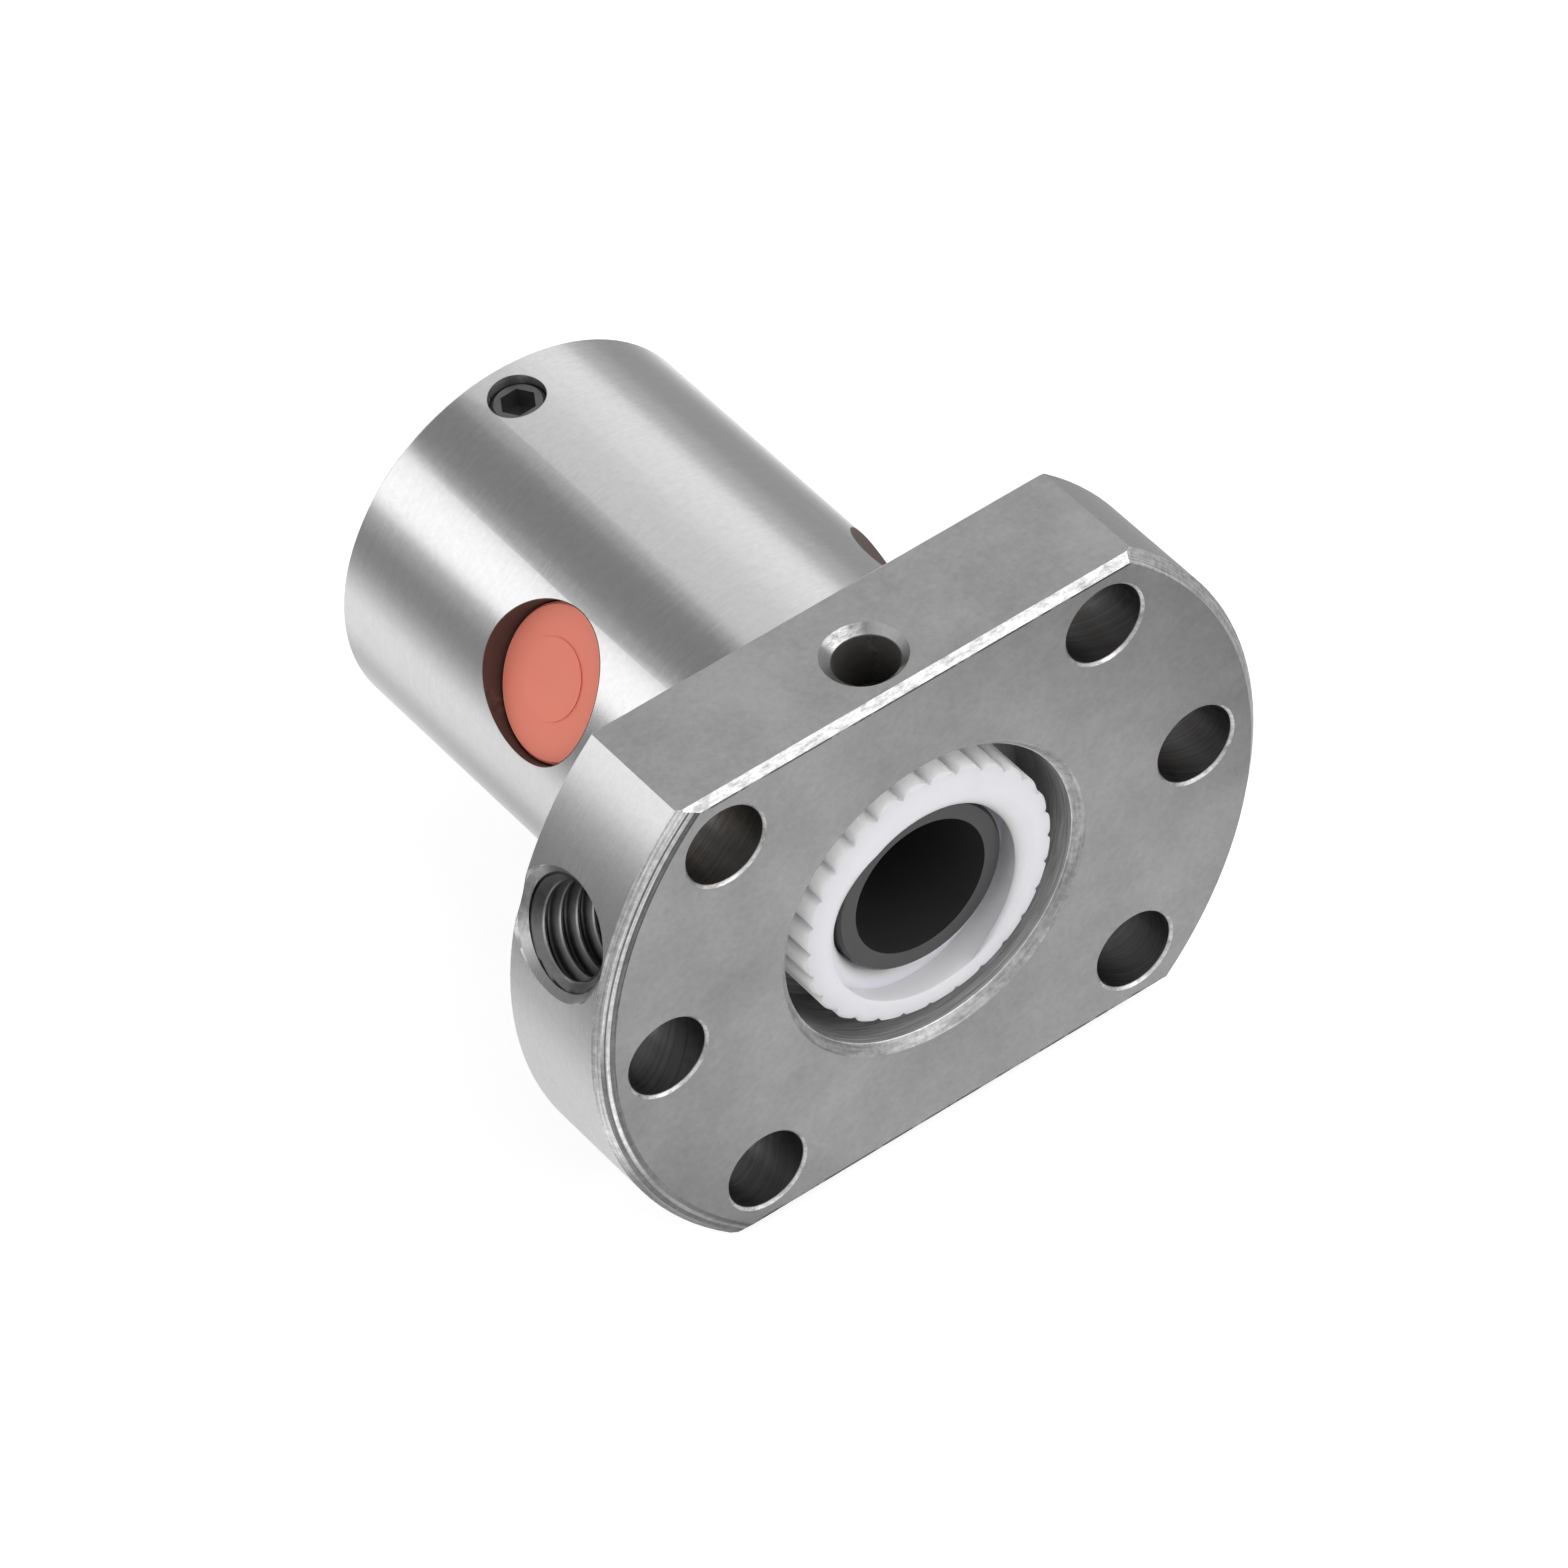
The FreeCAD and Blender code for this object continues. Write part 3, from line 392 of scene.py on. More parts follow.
def surface_masks(graph, y, z, radius, normal):
    """Outside masks: ground rounds, flats, chamfers, painted shadow line under a flat's chamfer."""
    _, normal_y, normal_z = graph.split(normal)
    endwise = graph.math("ABSOLUTE", normal_y)
    behind = graph.above(y, 0.0, 0.1 * MM)
    outside = graph.above(radius, BARREL_RADIUS - 0.5 * MM, BARREL_RADIUS - 0.4 * MM)
    flats = graph.math("GREATER_THAN", graph.math("ABSOLUTE", normal_z), SQUARE)
    around = graph.math("SUBTRACT", graph.math("LESS_THAN", endwise, 0.5), flats, clamp=True)
    sloping = graph.between(endwise, 0.6, 0.8, 0.05)
    lip_reach = RECESS_RADIUS + LIP_WIDTH
    chamfers = graph.both(sloping, graph.math("GREATER_THAN", radius, lip_reach))
    outer = graph.math("GREATER_THAN", radius, FLANGE_RADIUS - RIM_CHAMFER)
    at_end = graph.math("GREATER_THAN", y, NUT_END - END_CHAMFER)
    nearly_square = graph.between(endwise, 0.87, 0.97, 0.01)
    drop = graph.math("SUBTRACT", FLAT_HEIGHT - FLAT_CHAMFER, graph.math("ABSOLUTE", z))
    return {
        "barrel": graph.both(behind, outside),
        "flats": flats,
        "rim": graph.both(around, graph.math("GREATER_THAN", radius, FLANGE_RADIUS - RIM_BAND)),
        "chamfers": chamfers,
        "lip": graph.both(sloping, graph.math("LESS_THAN", radius, lip_reach)),
        "rim edge": graph.both(chamfers, graph.any_of(outer, at_end)),
        "second edge": graph.both(
            nearly_square, graph.math("GREATER_THAN", radius, FLANGE_RADIUS - SECOND_CHAMFER)
        ),
        "painted burr shadow": graph.both(
            graph.between(drop, 0.0, PAINTED_BURR_SHADOW_WIDTH, SOFT), graph.math("GREATER_THAN", endwise, SQUARE)
        ),
    }


print("oil in the bolt hole at", OILY_TURN, "degrees")

# %% [markdown]
# ## Ground steel: tones
# Each place then gets its tone. The list runs from the general to the particular, and a later place
# covers an earlier one. Some tones are painted light. The flange's front edge was cut twice on the
# side of the grease port; its bright lines there are painted highlights, and its bands turn dark
# towards the floor in painted shade. The recess walls darken with depth in painted shade, a thin
# painted burr shadow runs under the flats' chamfers, and a painted red reflection of the coral cap
# lies on the wall of its hole.


# %% Tones of the places
FACE_TONE = 0.305
PAINTED_HIGHLIGHT_LINE = (FLANGE_RADIUS - 0.74 * MM, FLANGE_RADIUS - 0.56 * MM, 0.03 * MM)
PAINTED_HIGHLIGHT_BAND = (FLANGE_RADIUS - 0.50 * MM, FLANGE_RADIUS - 0.44 * MM)
PAINTED_RECESS_SHADE = (FLANGE_FRONT + 0.4 * MM, FLANGE_FRONT + 3.2 * MM)
OIL_TINT = (1.0, 0.80, 0.63, 1)
PAINTED_CAP_BOUNCE = (0.105, 0.062, 0.052, 1)
POCKET_GREY = (0.225, 0.25, 0.245, 1)
SCREW_HOLE = (0.085, 0.080, 0.073, 1)


def steel_tones(graph, masks, y, z, radius):
    """How light the steel is at each place, some of it painted highlight and shade."""
    # Painted light on the flange's edges: highlights in bright lines and higher up, shade towards the
    # floor
    upper = graph.above(z, 0.0, 6 * MM)
    lower = graph.above(z, -3 * MM, -8 * MM)
    painted_edge_highlight = graph.between(radius, *PAINTED_HIGHLIGHT_LINE)
    lit = graph.any_of(painted_edge_highlight, graph.both(graph.above(radius, *PAINTED_HIGHLIGHT_BAND), upper))
    # Painted shade: the recess walls darken with depth
    painted_depth_shade = graph.above(y, *PAINTED_RECESS_SHADE)
    tones = {
        "flats": 0.37,
        "barrel": 0.64,
        "rim": 0.56,
        "chamfers": 0.56,
        "lip": 0.38,
        "rim edge": graph.blend(lower, 0.66, 0.22),
        "second edge": graph.blend(lit, 0.18, graph.blend(lower, 0.75, 0.30)),
        # Painted shadow of a burr: a thin dark line under the flats' chamfers
        "painted burr shadow": 0.09,
        "recess": graph.blend(painted_depth_shade, 0.62, 0.26),
        "bolts": 0.29,
        "rear hole": 0.55,
        "port": 0.42,
    }
    tone = FACE_TONE
    for name, value in tones.items():
        tone = graph.blend(masks[name], tone, value)
    return tone


def steel_colour(graph, masks, tone, x):
    """Colour: grey steel, oil in a bolt hole, dark walls of other holes, a cap's painted reflection."""
    colour = graph.tint(graph.mix(masks["oily"], grey(1.0), OIL_TINT), tone)
    # Painted reflection: the coral cap that the light reaches reddens the wall of its hole
    pocket_colour = graph.mix(graph.above(x, 0.0, 4 * MM), PAINTED_CAP_BOUNCE, POCKET_GREY)
    colour = graph.mix(masks["pockets"], colour, pocket_colour)
    return graph.mix(masks["front hole"], colour, SCREW_HOLE)


def steel_texture(graph, masks, place, lines, grit, clouds, scratches):
    """How much lighter or darker than its place's tone each point is."""
    patches = graph.noise(place, 110.0, detail=3.0, roughness=0.6)
    worn = graph.math("MULTIPLY_ADD", clouds, 0.46, graph.math("MULTIPLY_ADD", patches, 0.42, 0.36))
    texture = graph.blend(
        masks["ground"],
        graph.math("MULTIPLY_ADD", grit, 0.40, worn),
        graph.math("MULTIPLY_ADD", lines, 0.18, graph.math("MULTIPLY_ADD", grit, 0.18, 0.82)),
    )
    texture = graph.blend(masks["chamfers"], texture, scratches)
    edges = graph.any_of(masks["lip"], masks["rim edge"], masks["second edge"])
    turned = graph.any_of(masks["recess"], edges)
    texture = graph.blend(turned, texture, graph.math("MULTIPLY_ADD", lines, 2.2, -0.1))
    speckle = graph.math("MULTIPLY_ADD", grit, 1.1, 0.45)
    texture = graph.blend(edges, texture, graph.math("MULTIPLY", texture, speckle))
    return graph.blend(masks["bolts"], texture, graph.math("MULTIPLY_ADD", lines, 1.5, 0.25))


print("steel tones ready")

# %% [markdown]
# ## Ground steel: gloss and relief
# Grinding leaves the barrel and the rim glossier than the milled faces, and oil makes the drilled
# holes a little glossy too. The drill left rings in the bolt holes, and the chamfers are scratched
# along the flats. Marks this fine are too small to model, so a bump bends the light over them.


# %% Steel of the nut's body
LINES_PER_MM = 5
DRILL_RINGS = 14 / MM
RELIEF = 0.012 * MM
FACE_ROUGHNESS = 0.40
ROUGHNESS = {"barrel": 0.22, "rim": 0.28, "drilled": 0.34, "cut": 0.45, "sticky": 0.60}


def scratch_marks(graph, x, y, z):
    """Scratches along X: noise drawn out that way, with strong contrast and cut at both ends."""
    drawn_out = graph.join(graph.math("MULTIPLY", x, 0.4), y, z)
    marks = graph.noise(drawn_out, 2600.0, detail=4.0, roughness=0.8)
    marks = graph.math("MULTIPLY_ADD", marks, 2.8, -0.35)
    return graph.math("MINIMUM", graph.math("MAXIMUM", marks, 0.35), 1.5)


def steel_roughness(graph, masks, lines, grit):
    """Roughness of each place, uneven with the grain."""
    roughness = FACE_ROUGHNESS
    for name, value in ROUGHNESS.items():
        roughness = graph.blend(masks[name], roughness, value)
    uneven = graph.math("MULTIPLY_ADD", graph.blend(masks["ground"], grit, lines), 0.3, 0.85)
    return graph.math("MULTIPLY", roughness, uneven)


def steel_relief(graph, masks, y, lines, grit, scratches):
    """Height of the fine relief: grain, drill rings and scratches."""
    rings = graph.math("SINE", graph.math("MULTIPLY", y, DRILL_RINGS))
    drilled = graph.math("MULTIPLY_ADD", rings, 0.3, graph.math("MULTIPLY", lines, 0.7))
    height = graph.blend(masks["ground"], grit, lines)
    height = graph.blend(masks["bolts"], height, drilled)
    scratched = graph.math("SUBTRACT", masks["chamfers"], masks["rim edge"], clamp=True)
    return graph.blend(scratched, height, scratches)


def nut_steel():
    """Steel of the nut's body, with its finishes picked by place."""
    material, graph, shader = new_material("ground steel")
    coordinates = graph.add("ShaderNodeTexCoord").outputs
    place = coordinates["Object"]
    x, y, z = graph.split(place)
    radius = graph.length(x, z)
    grain = graph.add("ShaderNodeGroup", node_tree=spindle_grain)
    graph.feed(grain.inputs["Vector"], place)
    grain.inputs["Lines per mm"].default_value = LINES_PER_MM
    lines, grit, clouds = grain.outputs
    scratches = scratch_marks(graph, x, y, z)

    masks = surface_masks(graph, y, z, radius, coordinates["Normal"])
    nicks = graph.above(graph.noise(place, 700.0, detail=3.0, roughness=0.7), 0.40, 0.52)
    masks["painted burr shadow"] = graph.both(masks["painted burr shadow"], nicks)
    masks["ground"] = graph.any_of(masks["barrel"], masks["rim"])
    masks["recess"] = recess_mask(graph, y, radius)
    masks["bolts"] = bolt_hole_mask(graph, x, y, z, BOLT_TURNS)
    oiled = graph.above(clouds, 0.42, 0.58)
    masks["oily"] = graph.both(bolt_hole_mask(graph, x, y, z, [OILY_TURN]), oiled)
    cap_holes = [in_hole(graph, place, *cap, CAP_HOLE_RADIUS) for cap in CAPS]
    masks["pockets"] = graph.any_of(*cap_holes)
    masks["front hole"] = in_hole(graph, place, *FRONT_SCREW)
    masks["rear hole"] = in_hole(graph, place, *REAR_SCREW)
    masks["port"] = in_hole(graph, place, PORT_TURN, PORT_PLACE, PORT_MOUTH_RADIUS)
    masks["sticky"] = graph.any_of(masks["pockets"], masks["front hole"])
    masks["drilled"] = graph.any_of(masks["bolts"], masks["rear hole"], masks["port"])
    masks["cut"] = graph.any_of(masks["chamfers"], masks["lip"], masks["recess"])

    tone = steel_tones(graph, masks, y, z, radius)
    colour = steel_colour(graph, masks, tone, x)
    texture = steel_texture(graph, masks, place, lines, grit, clouds, scratches)
    graph.feed(shader.inputs["Base Color"], graph.tint(colour, texture))
    graph.feed(shader.inputs["Metallic"], graph.math("MULTIPLY_ADD", masks["sticky"], -0.8, 1.0))
    graph.feed(shader.inputs["Roughness"], steel_roughness(graph, masks, lines, grit))
    height = steel_relief(graph, masks, y, lines, grit, scratches)
    bump = graph.add("ShaderNodeBump", {"Strength": 0.25, "Distance": RELIEF, "Height": height})
    graph.feed(shader.inputs["Normal"], bump)
    return material


dress(["nut_body"], nut_steel())

# %% [markdown]
# ## Plastics
# The caps are coral red and the wipers white, both moulded and slightly glossy. Moulded plastic
# lets light in a little way. A wiper's sides get a painted glow, an emission that stands in for light
# which enters the face and leaks out of the sides, more out of the teeth than out of the valleys
# between them; the valleys get painted shade. The sides are also less bluish than the face. The
# transport sleeve is a dark tube.


# %% Plastics
WIPER_FLUTES = (7.13 * MM, 7.46 * MM)
PAINTED_SIDE_GLOW = 0.13
SIDE_WHITE = (0.88, 0.875, 0.89, 1)
PAINTED_VALLEY_SHADE = -0.10
GRAIN_DEPTH = 0.02 * MM
SCATTER_REACH = 1.5 * MM


def plastic(name, colour, roughness, waviness, scatter=0.0, flutes=None):
    """Moulded plastic, fine uneven skin; flutes: valley and tooth radii, for painted glow and shade."""
    material, graph, shader = new_material(name)
    coordinates = graph.add("ShaderNodeTexCoord").outputs
    place = coordinates["Object"]
    skin = graph.noise(place, 900.0, detail=3.0)
    cloud = graph.noise(place, 260.0)
    shade = graph.math("MULTIPLY_ADD", cloud, 0.10, 0.95)
    tone = (*colour, 1)
    if flutes:
        x, _, z = graph.split(place)
        teeth = graph.above(graph.length(x, z), *flutes)
        endwise = graph.math("ABSOLUTE", graph.split(coordinates["Normal"])[1])
        sides = graph.math("SUBTRACT", 1.0, endwise, clamp=True)
        # Painted glow: emission on the teeth's sides stands in for light leaking out of the plastic
        painted_leak_glow = graph.tint(grey(1.0), graph.both(sides, teeth))
        graph.feed(shader.inputs["Emission Color"], painted_leak_glow)
        shader.inputs["Emission Strength"].default_value = PAINTED_SIDE_GLOW
        # Painted shade in the valleys between the teeth
        valleys = graph.both(sides, graph.math("SUBTRACT", 1.0, teeth))
        shade = graph.math("MULTIPLY", shade, graph.math("MULTIPLY_ADD", valleys, PAINTED_VALLEY_SHADE, 1.0))
        tone = graph.mix(graph.above(sides, 0.05, 0.25), tone, SIDE_WHITE)
    graph.feed(shader.inputs["Base Color"], graph.tint(tone, shade))
    graph.feed(shader.inputs["Roughness"], graph.math("MULTIPLY_ADD", skin, 0.12, roughness - 0.06))
    relief = {"Strength": waviness, "Distance": GRAIN_DEPTH, "Height": skin}
    bump = graph.add("ShaderNodeBump", relief)
    graph.feed(shader.inputs["Normal"], bump)
    shader.inputs["Subsurface Weight"].default_value = scatter
    shader.inputs["Subsurface Radius"].default_value = (1.0, 1.0, 1.0)
    shader.inputs["Subsurface Scale"].default_value = SCATTER_REACH
    return material


caps = [name for name in nodes if name.startswith("return_cap")]
coral = plastic("coral plastic", (0.95, 0.27, 0.19), roughness=0.45, waviness=0.15, scatter=0.1)
dress(caps, coral)
white = plastic(
    "white plastic", (0.87, 0.865, 1.0), roughness=0.40, waviness=0.06, scatter=0.9, flutes=WIPER_FLUTES
)
dress(["front_wiper", "rear_wiper"], white)
dark = plastic("dark plastic", (0.034, 0.034, 0.036), roughness=0.38, waviness=0.12)
dress(["transport_sleeve"], dark)

# %% [markdown]
# ## Small steel
# The balls are polished until they mirror their surroundings. The grub screws are blackened, and
# the film of oil on them gives a soft gloss. Both are plain steel with an uneven polish, so one
# function makes both, each with its own numbers.


# %% Small steel
def small_steel(name, lightness, metallic, roughness):
    """Plain steel of a small part, with a slightly uneven polish."""
    material, graph, shader = new_material(name)
    place = graph.add("ShaderNodeTexCoord").outputs["Object"]
    uneven = graph.noise(place, 1500.0, detail=3.0)
    polish = graph.math("MULTIPLY_ADD", uneven, 0.3, 0.85)
    graph.feed(shader.inputs["Base Color"], graph.tint(grey(lightness), polish))
    graph.feed(shader.inputs["Roughness"], graph.math("MULTIPLY_ADD", uneven, 0.1, roughness))
    shader.inputs["Metallic"].default_value = metallic
    return material


balls = [name for name in nodes if "_ball_" in name]
dress(balls, small_steel("polished steel", 0.75, metallic=1.0, roughness=0.05))
black = small_steel("black steel", 0.13, metallic=0.8, roughness=0.3)
dress(["front_wiper_screw", "rear_wiper_screw"], black)

# %% [markdown]
# ## The grease port's thread
# The construction model bores the port to the thread's outside, and the thread's ridges are added
# here. A bump couldn't make them, as their crests stand clear of the wall. A tapped hole is a
# surface over two numbers: the turn round the hole and the place across the ridges. Geometry Nodes
# bend a grid into it. Its rows follow the ridges, so that the crests stay clean, and the
# countersink cuts them off at the mouth.

# %% Thread
THREAD_PITCH = 1.0 * MM
THREAD_ROOT = 2.98 * MM
THREAD_CREST = 2.42 * MM
THREAD_BOTTOM = 14.02 * MM
THREAD_MOUTH = 19.36 * MM
STEPS_ROUND = 96
STEPS_PER_PITCH = 14
MOUTH_CONE = 2.2
CREST_TONE = 0.44
FLANK_TONE = 0.12


def thread_surface(inputs, material):
    """Geometry node tree: inside of a tapped hole along Z, then moved into place."""
    tree = bpy.data.node_groups.new("tapped hole", "GeometryNodeTree")
    for name, (kind, value) in inputs.items():
        tree.interface.new_socket(name, in_out="INPUT", socket_type=kind).default_value = value
    tree.interface.new_socket("Geometry", in_out="OUTPUT", socket_type="NodeSocketGeometry")
    graph = Graph(tree)
    given = graph.add("NodeGroupInput").outputs
    bottom, mouth, pitch = given["Bottom"], given["Mouth"], given["Pitch"]

    ridges = graph.math("ADD", graph.math("DIVIDE", graph.math("SUBTRACT", mouth, bottom), pitch), 1.0)
    ridges = graph.math("CEIL", ridges)
    rows = graph.math("MULTIPLY_ADD", ridges, given["Steps per pitch"], 1.0)
    columns = graph.math("ADD", given["Steps round"], 1.0)
    counts = {"Size X": 1.0, "Size Y": 1.0, "Vertices X": columns, "Vertices Y": rows}
    grid = graph.add("GeometryNodeMeshGrid", counts)
    spot = graph.split(graph.add("GeometryNodeInputPosition"))
    turns = graph.math("ADD", spot[0], 0.5)
    ridge = graph.math("MULTIPLY_ADD", spot[1], ridges, graph.math("MULTIPLY_ADD", ridges, 0.5, -1.0))

    # Right-hand thread: a ridge rises by one pitch a turn
    rise = graph.math("MULTIPLY_ADD", graph.math("ADD", ridge, turns), pitch, bottom)
    height = graph.math("MINIMUM", graph.math("MAXIMUM", rise, bottom), mouth)
    saw = graph.math("FRACT", graph.math("ADD", ridge, 100.0))
    slope = graph.math("ABSOLUTE", graph.math("MULTIPLY_ADD", saw, 2.0, -1.0))
    share = graph.math("MULTIPLY_ADD", slope, -1.3, 1.15, clamp=True)
    root = given["Root radius"]
    ridge_height = graph.math("SUBTRACT", root, given["Crest radius"])
    threaded = graph.math("SUBTRACT", root, graph.math("MULTIPLY", share, ridge_height))

    # Cones at both ends cut the ridges off, a steep one at the countersink
    above_mouth = graph.math("SUBTRACT", height, mouth)
    from_mouth = graph.math("MULTIPLY_ADD", above_mouth, MOUTH_CONE, root)
    from_bottom = graph.math("SUBTRACT", root, graph.math("SUBTRACT", height, bottom))
    wall = graph.math("MAXIMUM", threaded, graph.math("MAXIMUM", from_mouth, from_bottom))
    angle = graph.math("MULTIPLY", turns, 2 * math.pi)
    bent = graph.join(
        graph.math("MULTIPLY", wall, graph.math("COSINE", angle)),
        graph.math("MULTIPLY", wall, graph.math("SINE", angle)),
        height,
    )
    shaped = graph.add("GeometryNodeSetPosition", {"Geometry": grid, "Position": bent})
    move = {"Geometry": shaped, "Translation": given["Translation"], "Rotation": given["Rotation"]}
    placed = graph.add("GeometryNodeTransform", move)
    smooth = graph.add("GeometryNodeSetShadeSmooth", {"Geometry": placed})
    real = graph.add("GeometryNodeRealizeInstances", {"Geometry": smooth})
    painted = graph.add("GeometryNodeSetMaterial", {"Geometry": real, "Material": material})
    graph.add("NodeGroupOutput", {0: painted})
    return tree


def grow(name, tree, values):
    """New object whose mesh a geometry node tree makes, with the modifier already applied."""
    seed = bpy.data.objects.new(name + "_seed", bpy.data.meshes.new(name + "_seed"))
    bpy.context.scene.collection.objects.link(seed)
    modifier = seed.modifiers.new("growth", "NODES")
    modifier.node_group = tree
    for item in tree.interface.items_tree:
        if item.in_out == "INPUT" and item.name in values:
            modifier[item.identifier] = values[item.name]
    bpy.context.view_layer.update()
    evaluated = seed.evaluated_get(bpy.context.evaluated_depsgraph_get())
    mesh = bpy.data.meshes.new_from_object(evaluated)
    bpy.data.objects.remove(seed)
    mesh.name = name
    made = bpy.data.objects.new(name, mesh)
    bpy.context.scene.collection.objects.link(made)
    return made


def thread_steel():
    """Cut steel: bright crests on dark flanks."""
    material, graph, shader = new_material("cut thread")
    place = graph.add("ShaderNodeTexCoord").outputs["Object"]
    grit = graph.noise(place, 2200.0, detail=3.0, roughness=0.7)
    off_axis = hole(graph, place, PORT_TURN, PORT_PLACE, THREAD_ROOT)["Off axis"]
    flanks = graph.above(off_axis, THREAD_CREST + 0.02 * MM, THREAD_CREST + 0.12 * MM)
    grain = graph.math("MULTIPLY_ADD", grit, 0.7, 0.65)
    tone = graph.math("MULTIPLY", graph.blend(flanks, CREST_TONE, FLANK_TONE), grain)
    graph.feed(shader.inputs["Base Color"], graph.tint(grey(1.0), tone))
    graph.feed(shader.inputs["Roughness"], graph.math("MULTIPLY_ADD", grit, 0.2, 0.26))
    shader.inputs["Metallic"].default_value = 1.0
    return material


sizes = {
    "Pitch": ("NodeSocketFloat", THREAD_PITCH),
    "Root radius": ("NodeSocketFloat", THREAD_ROOT),
    "Crest radius": ("NodeSocketFloat", THREAD_CREST),
    "Bottom": ("NodeSocketFloat", THREAD_BOTTOM),
    "Mouth": ("NodeSocketFloat", THREAD_MOUTH),
    "Steps round": ("NodeSocketInt", STEPS_ROUND),
    "Steps per pitch": ("NodeSocketInt", STEPS_PER_PITCH),
    "Translation": ("NodeSocketVector", (0.0, 0.0, 0.0)),
    "Rotation": ("NodeSocketVector", (0.0, 0.0, 0.0)),
}
port_values = {
    "Translation": (0.0, PORT_PLACE, 0.0),
    "Rotation": (0.0, math.radians(90 - PORT_TURN), 0.0),
}
port_thread = grow("grease_port_thread", thread_surface(sizes, thread_steel()), port_values)
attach(port_thread, "nut")
print("thread has", len(port_thread.data.polygons), "faces")

# %% [markdown]
# ## Floor
# The nut lies on its lower flat's edge and on the end of its barrel, tilted by almost eight degrees.
# It stays square in its own frame here, so the floor is the one that tilts to meet both edges. The
# camera sees it as white paper with a faint shadow. In the steel's mirror the paper glows with a
# painted pool of light, brightest close to the nut and fading to the sides as a lit table does in a
# dim room, and with a painted shadow close under the barrel's left side.

# %% Floor
FLAT_EDGE = Vector((0, -0.25 * MM, -FLAT_HEIGHT))
BARREL_EDGE = Vector((0, 27.0 * MM, -BARREL_RADIUS))
FLOOR_HALF = 1.5
LEFT_REACH = 27 * MM
RIGHT_REACH = 23 * MM
LEFT_FADE = 12.5 * MM
RIGHT_FADE = 7 * MM
LEFT_GLOW = 0.24
RIGHT_GLOW = 0.34
MIRROR_LIGHT = 0.42
CAMERA_LIGHT = 0.72
PAINTED_SHADOW_SPAN = (-15 * MM, -10 * MM, 3 * MM)
PAINTED_SHADOW_STRENGTH = -0.35

slope = (BARREL_EDGE - FLAT_EDGE).normalized()
sideways = Vector((1, 0, 0))
signs = ((-1, -1), (-1, 1), (1, 1), (1, -1))
corners = [FLAT_EDGE + (slope * a + sideways * b) * FLOOR_HALF for a, b in signs]
floor_mesh = bpy.data.meshes.new("floor")
floor_mesh.from_pydata(corners, [], [(0, 1, 2, 3)])
floor = bpy.data.objects.new("floor", floor_mesh)
bpy.context.scene.collection.objects.link(floor)


def floor_paper():
    """White paper that glows for the camera, and in the mirror as painted light fading to the sides."""
    material, graph, shader = new_material("pale floor")
    x = graph.split(graph.add("ShaderNodeTexCoord").outputs["Object"])[0]
    rays = graph.add("ShaderNodeLightPath").outputs
    seen = rays["Is Camera Ray"]
    mirrored = graph.any_of(rays["Is Glossy Ray"], rays["Is Transmission Ray"])
    # Painted pool of light in the mirror: brightest near the nut, fading to the sides
    to_right = graph.above(x, 0.0, 20 * MM)
    reach = graph.blend(to_right, LEFT_REACH, RIGHT_REACH)
    beyond = graph.math("SUBTRACT", reach, graph.math("ABSOLUTE", x))
    fade_length = graph.blend(to_right, LEFT_FADE, RIGHT_FADE)
    fade = graph.math("EXPONENT", graph.math("DIVIDE", beyond, fade_length))
    least = graph.blend(to_right, LEFT_GLOW, RIGHT_GLOW)
    glow = graph.blend(graph.math("MINIMUM", fade, 1.0), least, 1.0)

    # Painted shadow: darker close under the barrel's left side
    painted_shadow = graph.between(x, *PAINTED_SHADOW_SPAN)
    glow = graph.math("MULTIPLY", glow, graph.math("MULTIPLY_ADD", painted_shadow, PAINTED_SHADOW_STRENGTH, 1.0))

    # Diffuse part: 0.5 for the camera, 0.8 for all other light, and less to the sides in the mirror
    dimmed = graph.tint(grey(0.8), graph.blend(mirrored, 1.0, glow))
    graph.feed(shader.inputs["Base Color"], graph.mix(seen, dimmed, grey(0.5)))
    shader.inputs["Roughness"].default_value = 0.9
    shader.inputs["Specular IOR Level"].default_value = 0.0
    shader.inputs["Emission Color"].default_value = grey(1.0)
    own = graph.both(mirrored, glow, MIRROR_LIGHT)
    strength = graph.math("MULTIPLY_ADD", seen, CAMERA_LIGHT, own)
    graph.feed(shader.inputs["Emission Strength"], strength)
    return material


floor_mesh.materials.append(floor_paper())
print("floor tilts by", round(math.degrees(math.atan2(slope.z, slope.y)), 2), "degrees")

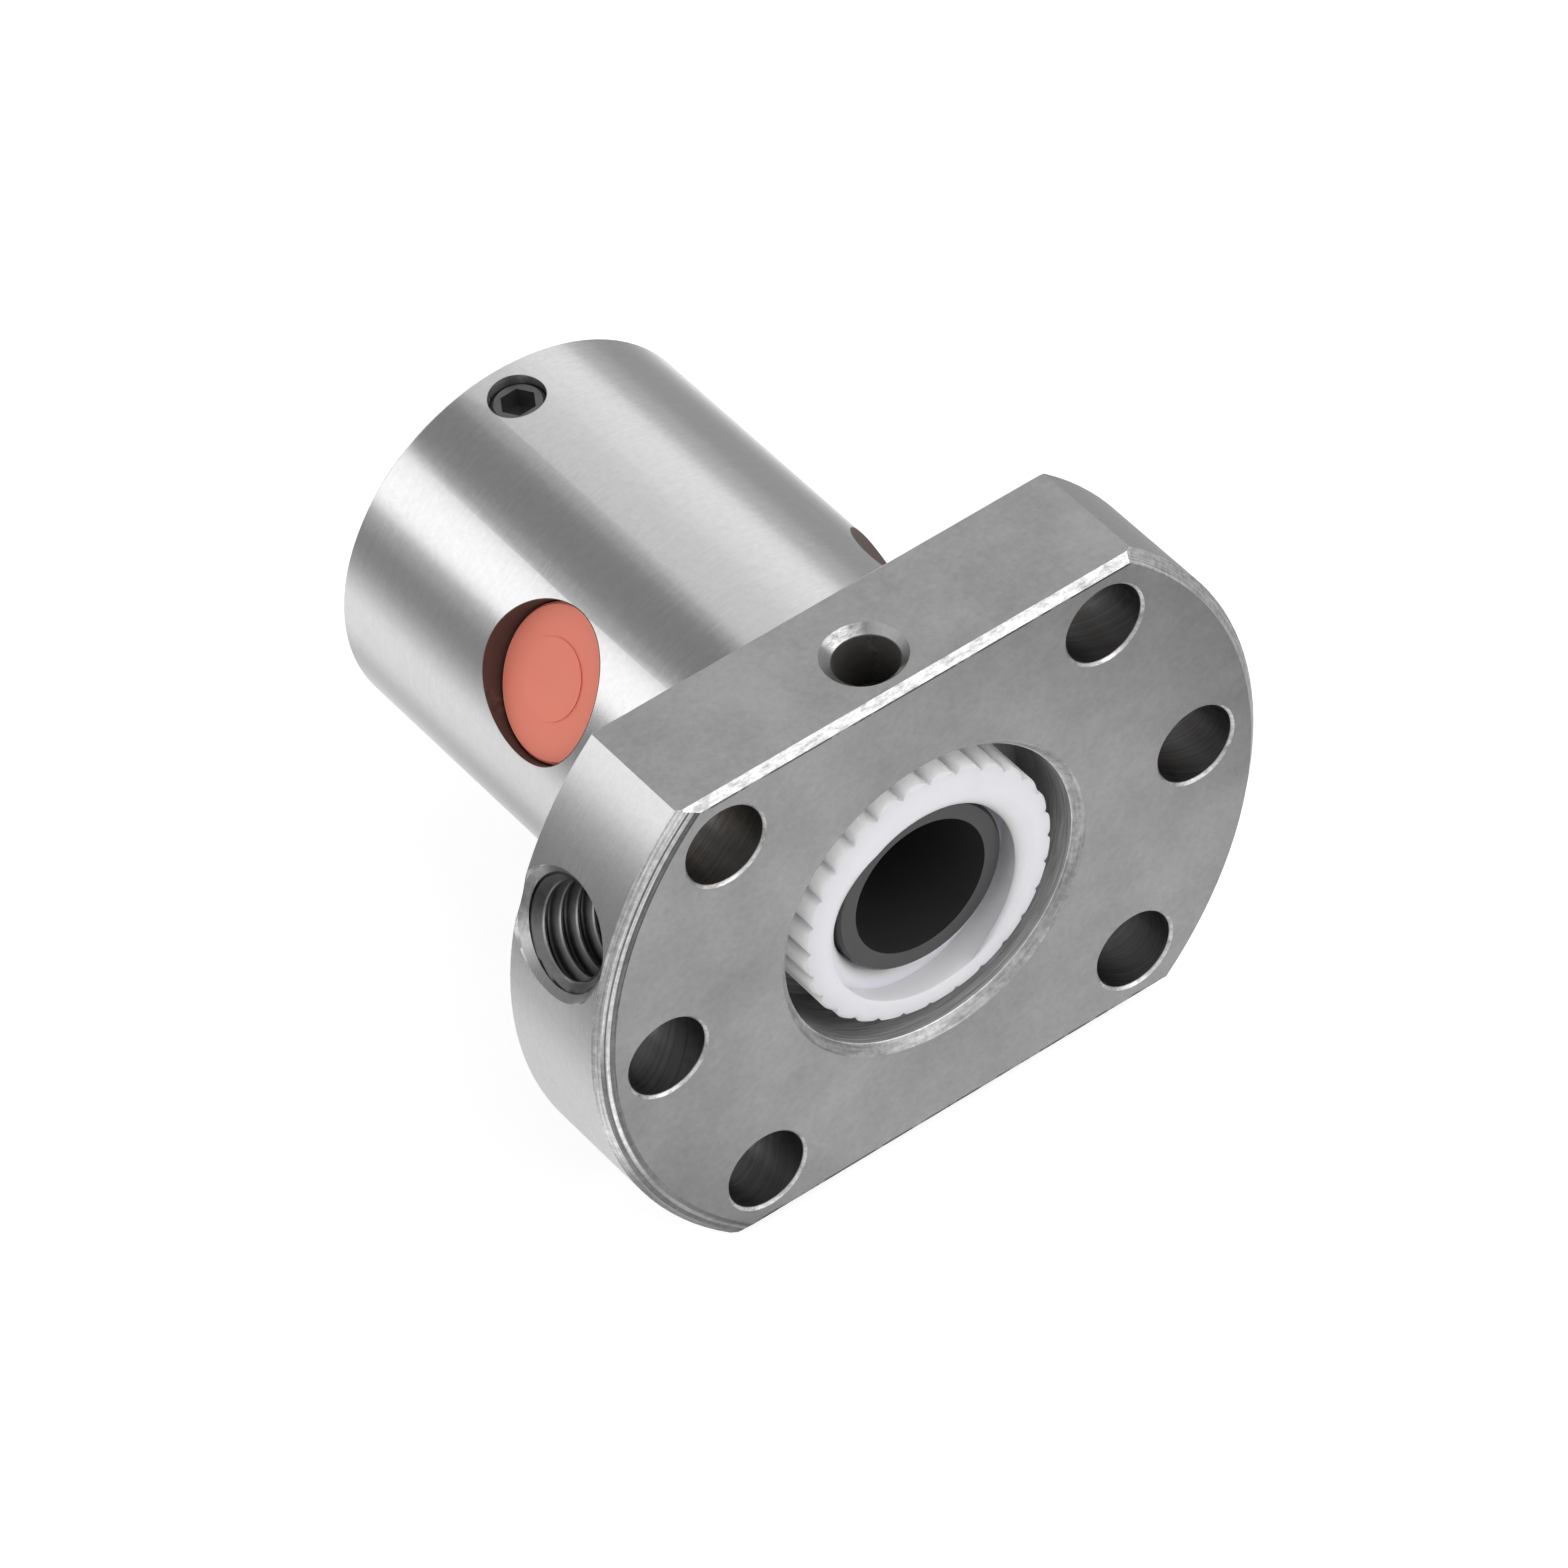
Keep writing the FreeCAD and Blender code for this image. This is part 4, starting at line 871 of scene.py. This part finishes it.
# %% [markdown]
# ## Light
# Bright metal shows the studio more than itself. Two long softboxes run along the nut's axis, one on
# each side, and the dark gap between them draws the dark stripe along the top of the barrel. A third
# one in front lights the plastic and makes the flange's chamfers glitter. The room around is dim,
# with paler walls to the left and right, and the camera sees plain white in its place.


# %% Lamps
def softbox(name, outward, distance, width, length, radiance):
    """Panel that faces the nut, as long as given along the nut's axis, or across it in front."""
    data = bpy.data.lights.new(name, "AREA")
    data.shape = "RECTANGLE"
    data.size = length
    data.size_y = width
    data.energy = radiance * math.pi * width * length
    lamp = bpy.data.objects.new(name, data)
    along = Vector((0, 1, 0)) if abs(outward.y) < 0.5 else Vector((1, 0, 0))
    along = (along - outward * along.dot(outward)).normalized()
    facing = Matrix((along, outward.cross(along), outward)).transposed().to_4x4()
    lamp.matrix_world = Matrix.Translation(outward * distance) @ facing
    bpy.context.scene.collection.objects.link(lamp)
    return lamp


in_front = Vector((0.37, -0.71, 0.60)).normalized()
softbox("left softbox", direction(144.5), distance=0.8, width=0.48, length=3.0, radiance=1.14)
softbox("right softbox", direction(56), distance=0.8, width=1.05, length=3.0, radiance=0.58)
softbox("front softbox", in_front, distance=0.9, width=0.8, length=0.8, radiance=1.3)

ROOM_LIGHT = 0.27
RIGHT_WALL_LIGHT = 0.30
LEFT_WALL_LIGHT = 0.20

world = bpy.data.worlds.new("studio")
bpy.context.scene.world = world
world.use_nodes = True
world.node_tree.nodes.clear()
graph = Graph(world.node_tree)
seen = graph.add("ShaderNodeLightPath").outputs["Is Camera Ray"]
to_side = graph.split(graph.add("ShaderNodeTexCoord").outputs["Generated"])[0]
right_wall = graph.math("MULTIPLY", graph.above(to_side, 0.30, 0.70), RIGHT_WALL_LIGHT)
to_left = graph.math("MULTIPLY", to_side, -1.0)
left_wall = graph.math("MULTIPLY", graph.above(to_left, 0.4, 0.76), LEFT_WALL_LIGHT)
room = graph.math("ADD", graph.math("ADD", right_wall, left_wall), ROOM_LIGHT)
strength = graph.blend(seen, room, 1.0)
backdrop = graph.add("ShaderNodeBackground", {"Color": grey(1.0), "Strength": strength})
graph.add("ShaderNodeOutputWorld", {"Surface": backdrop})
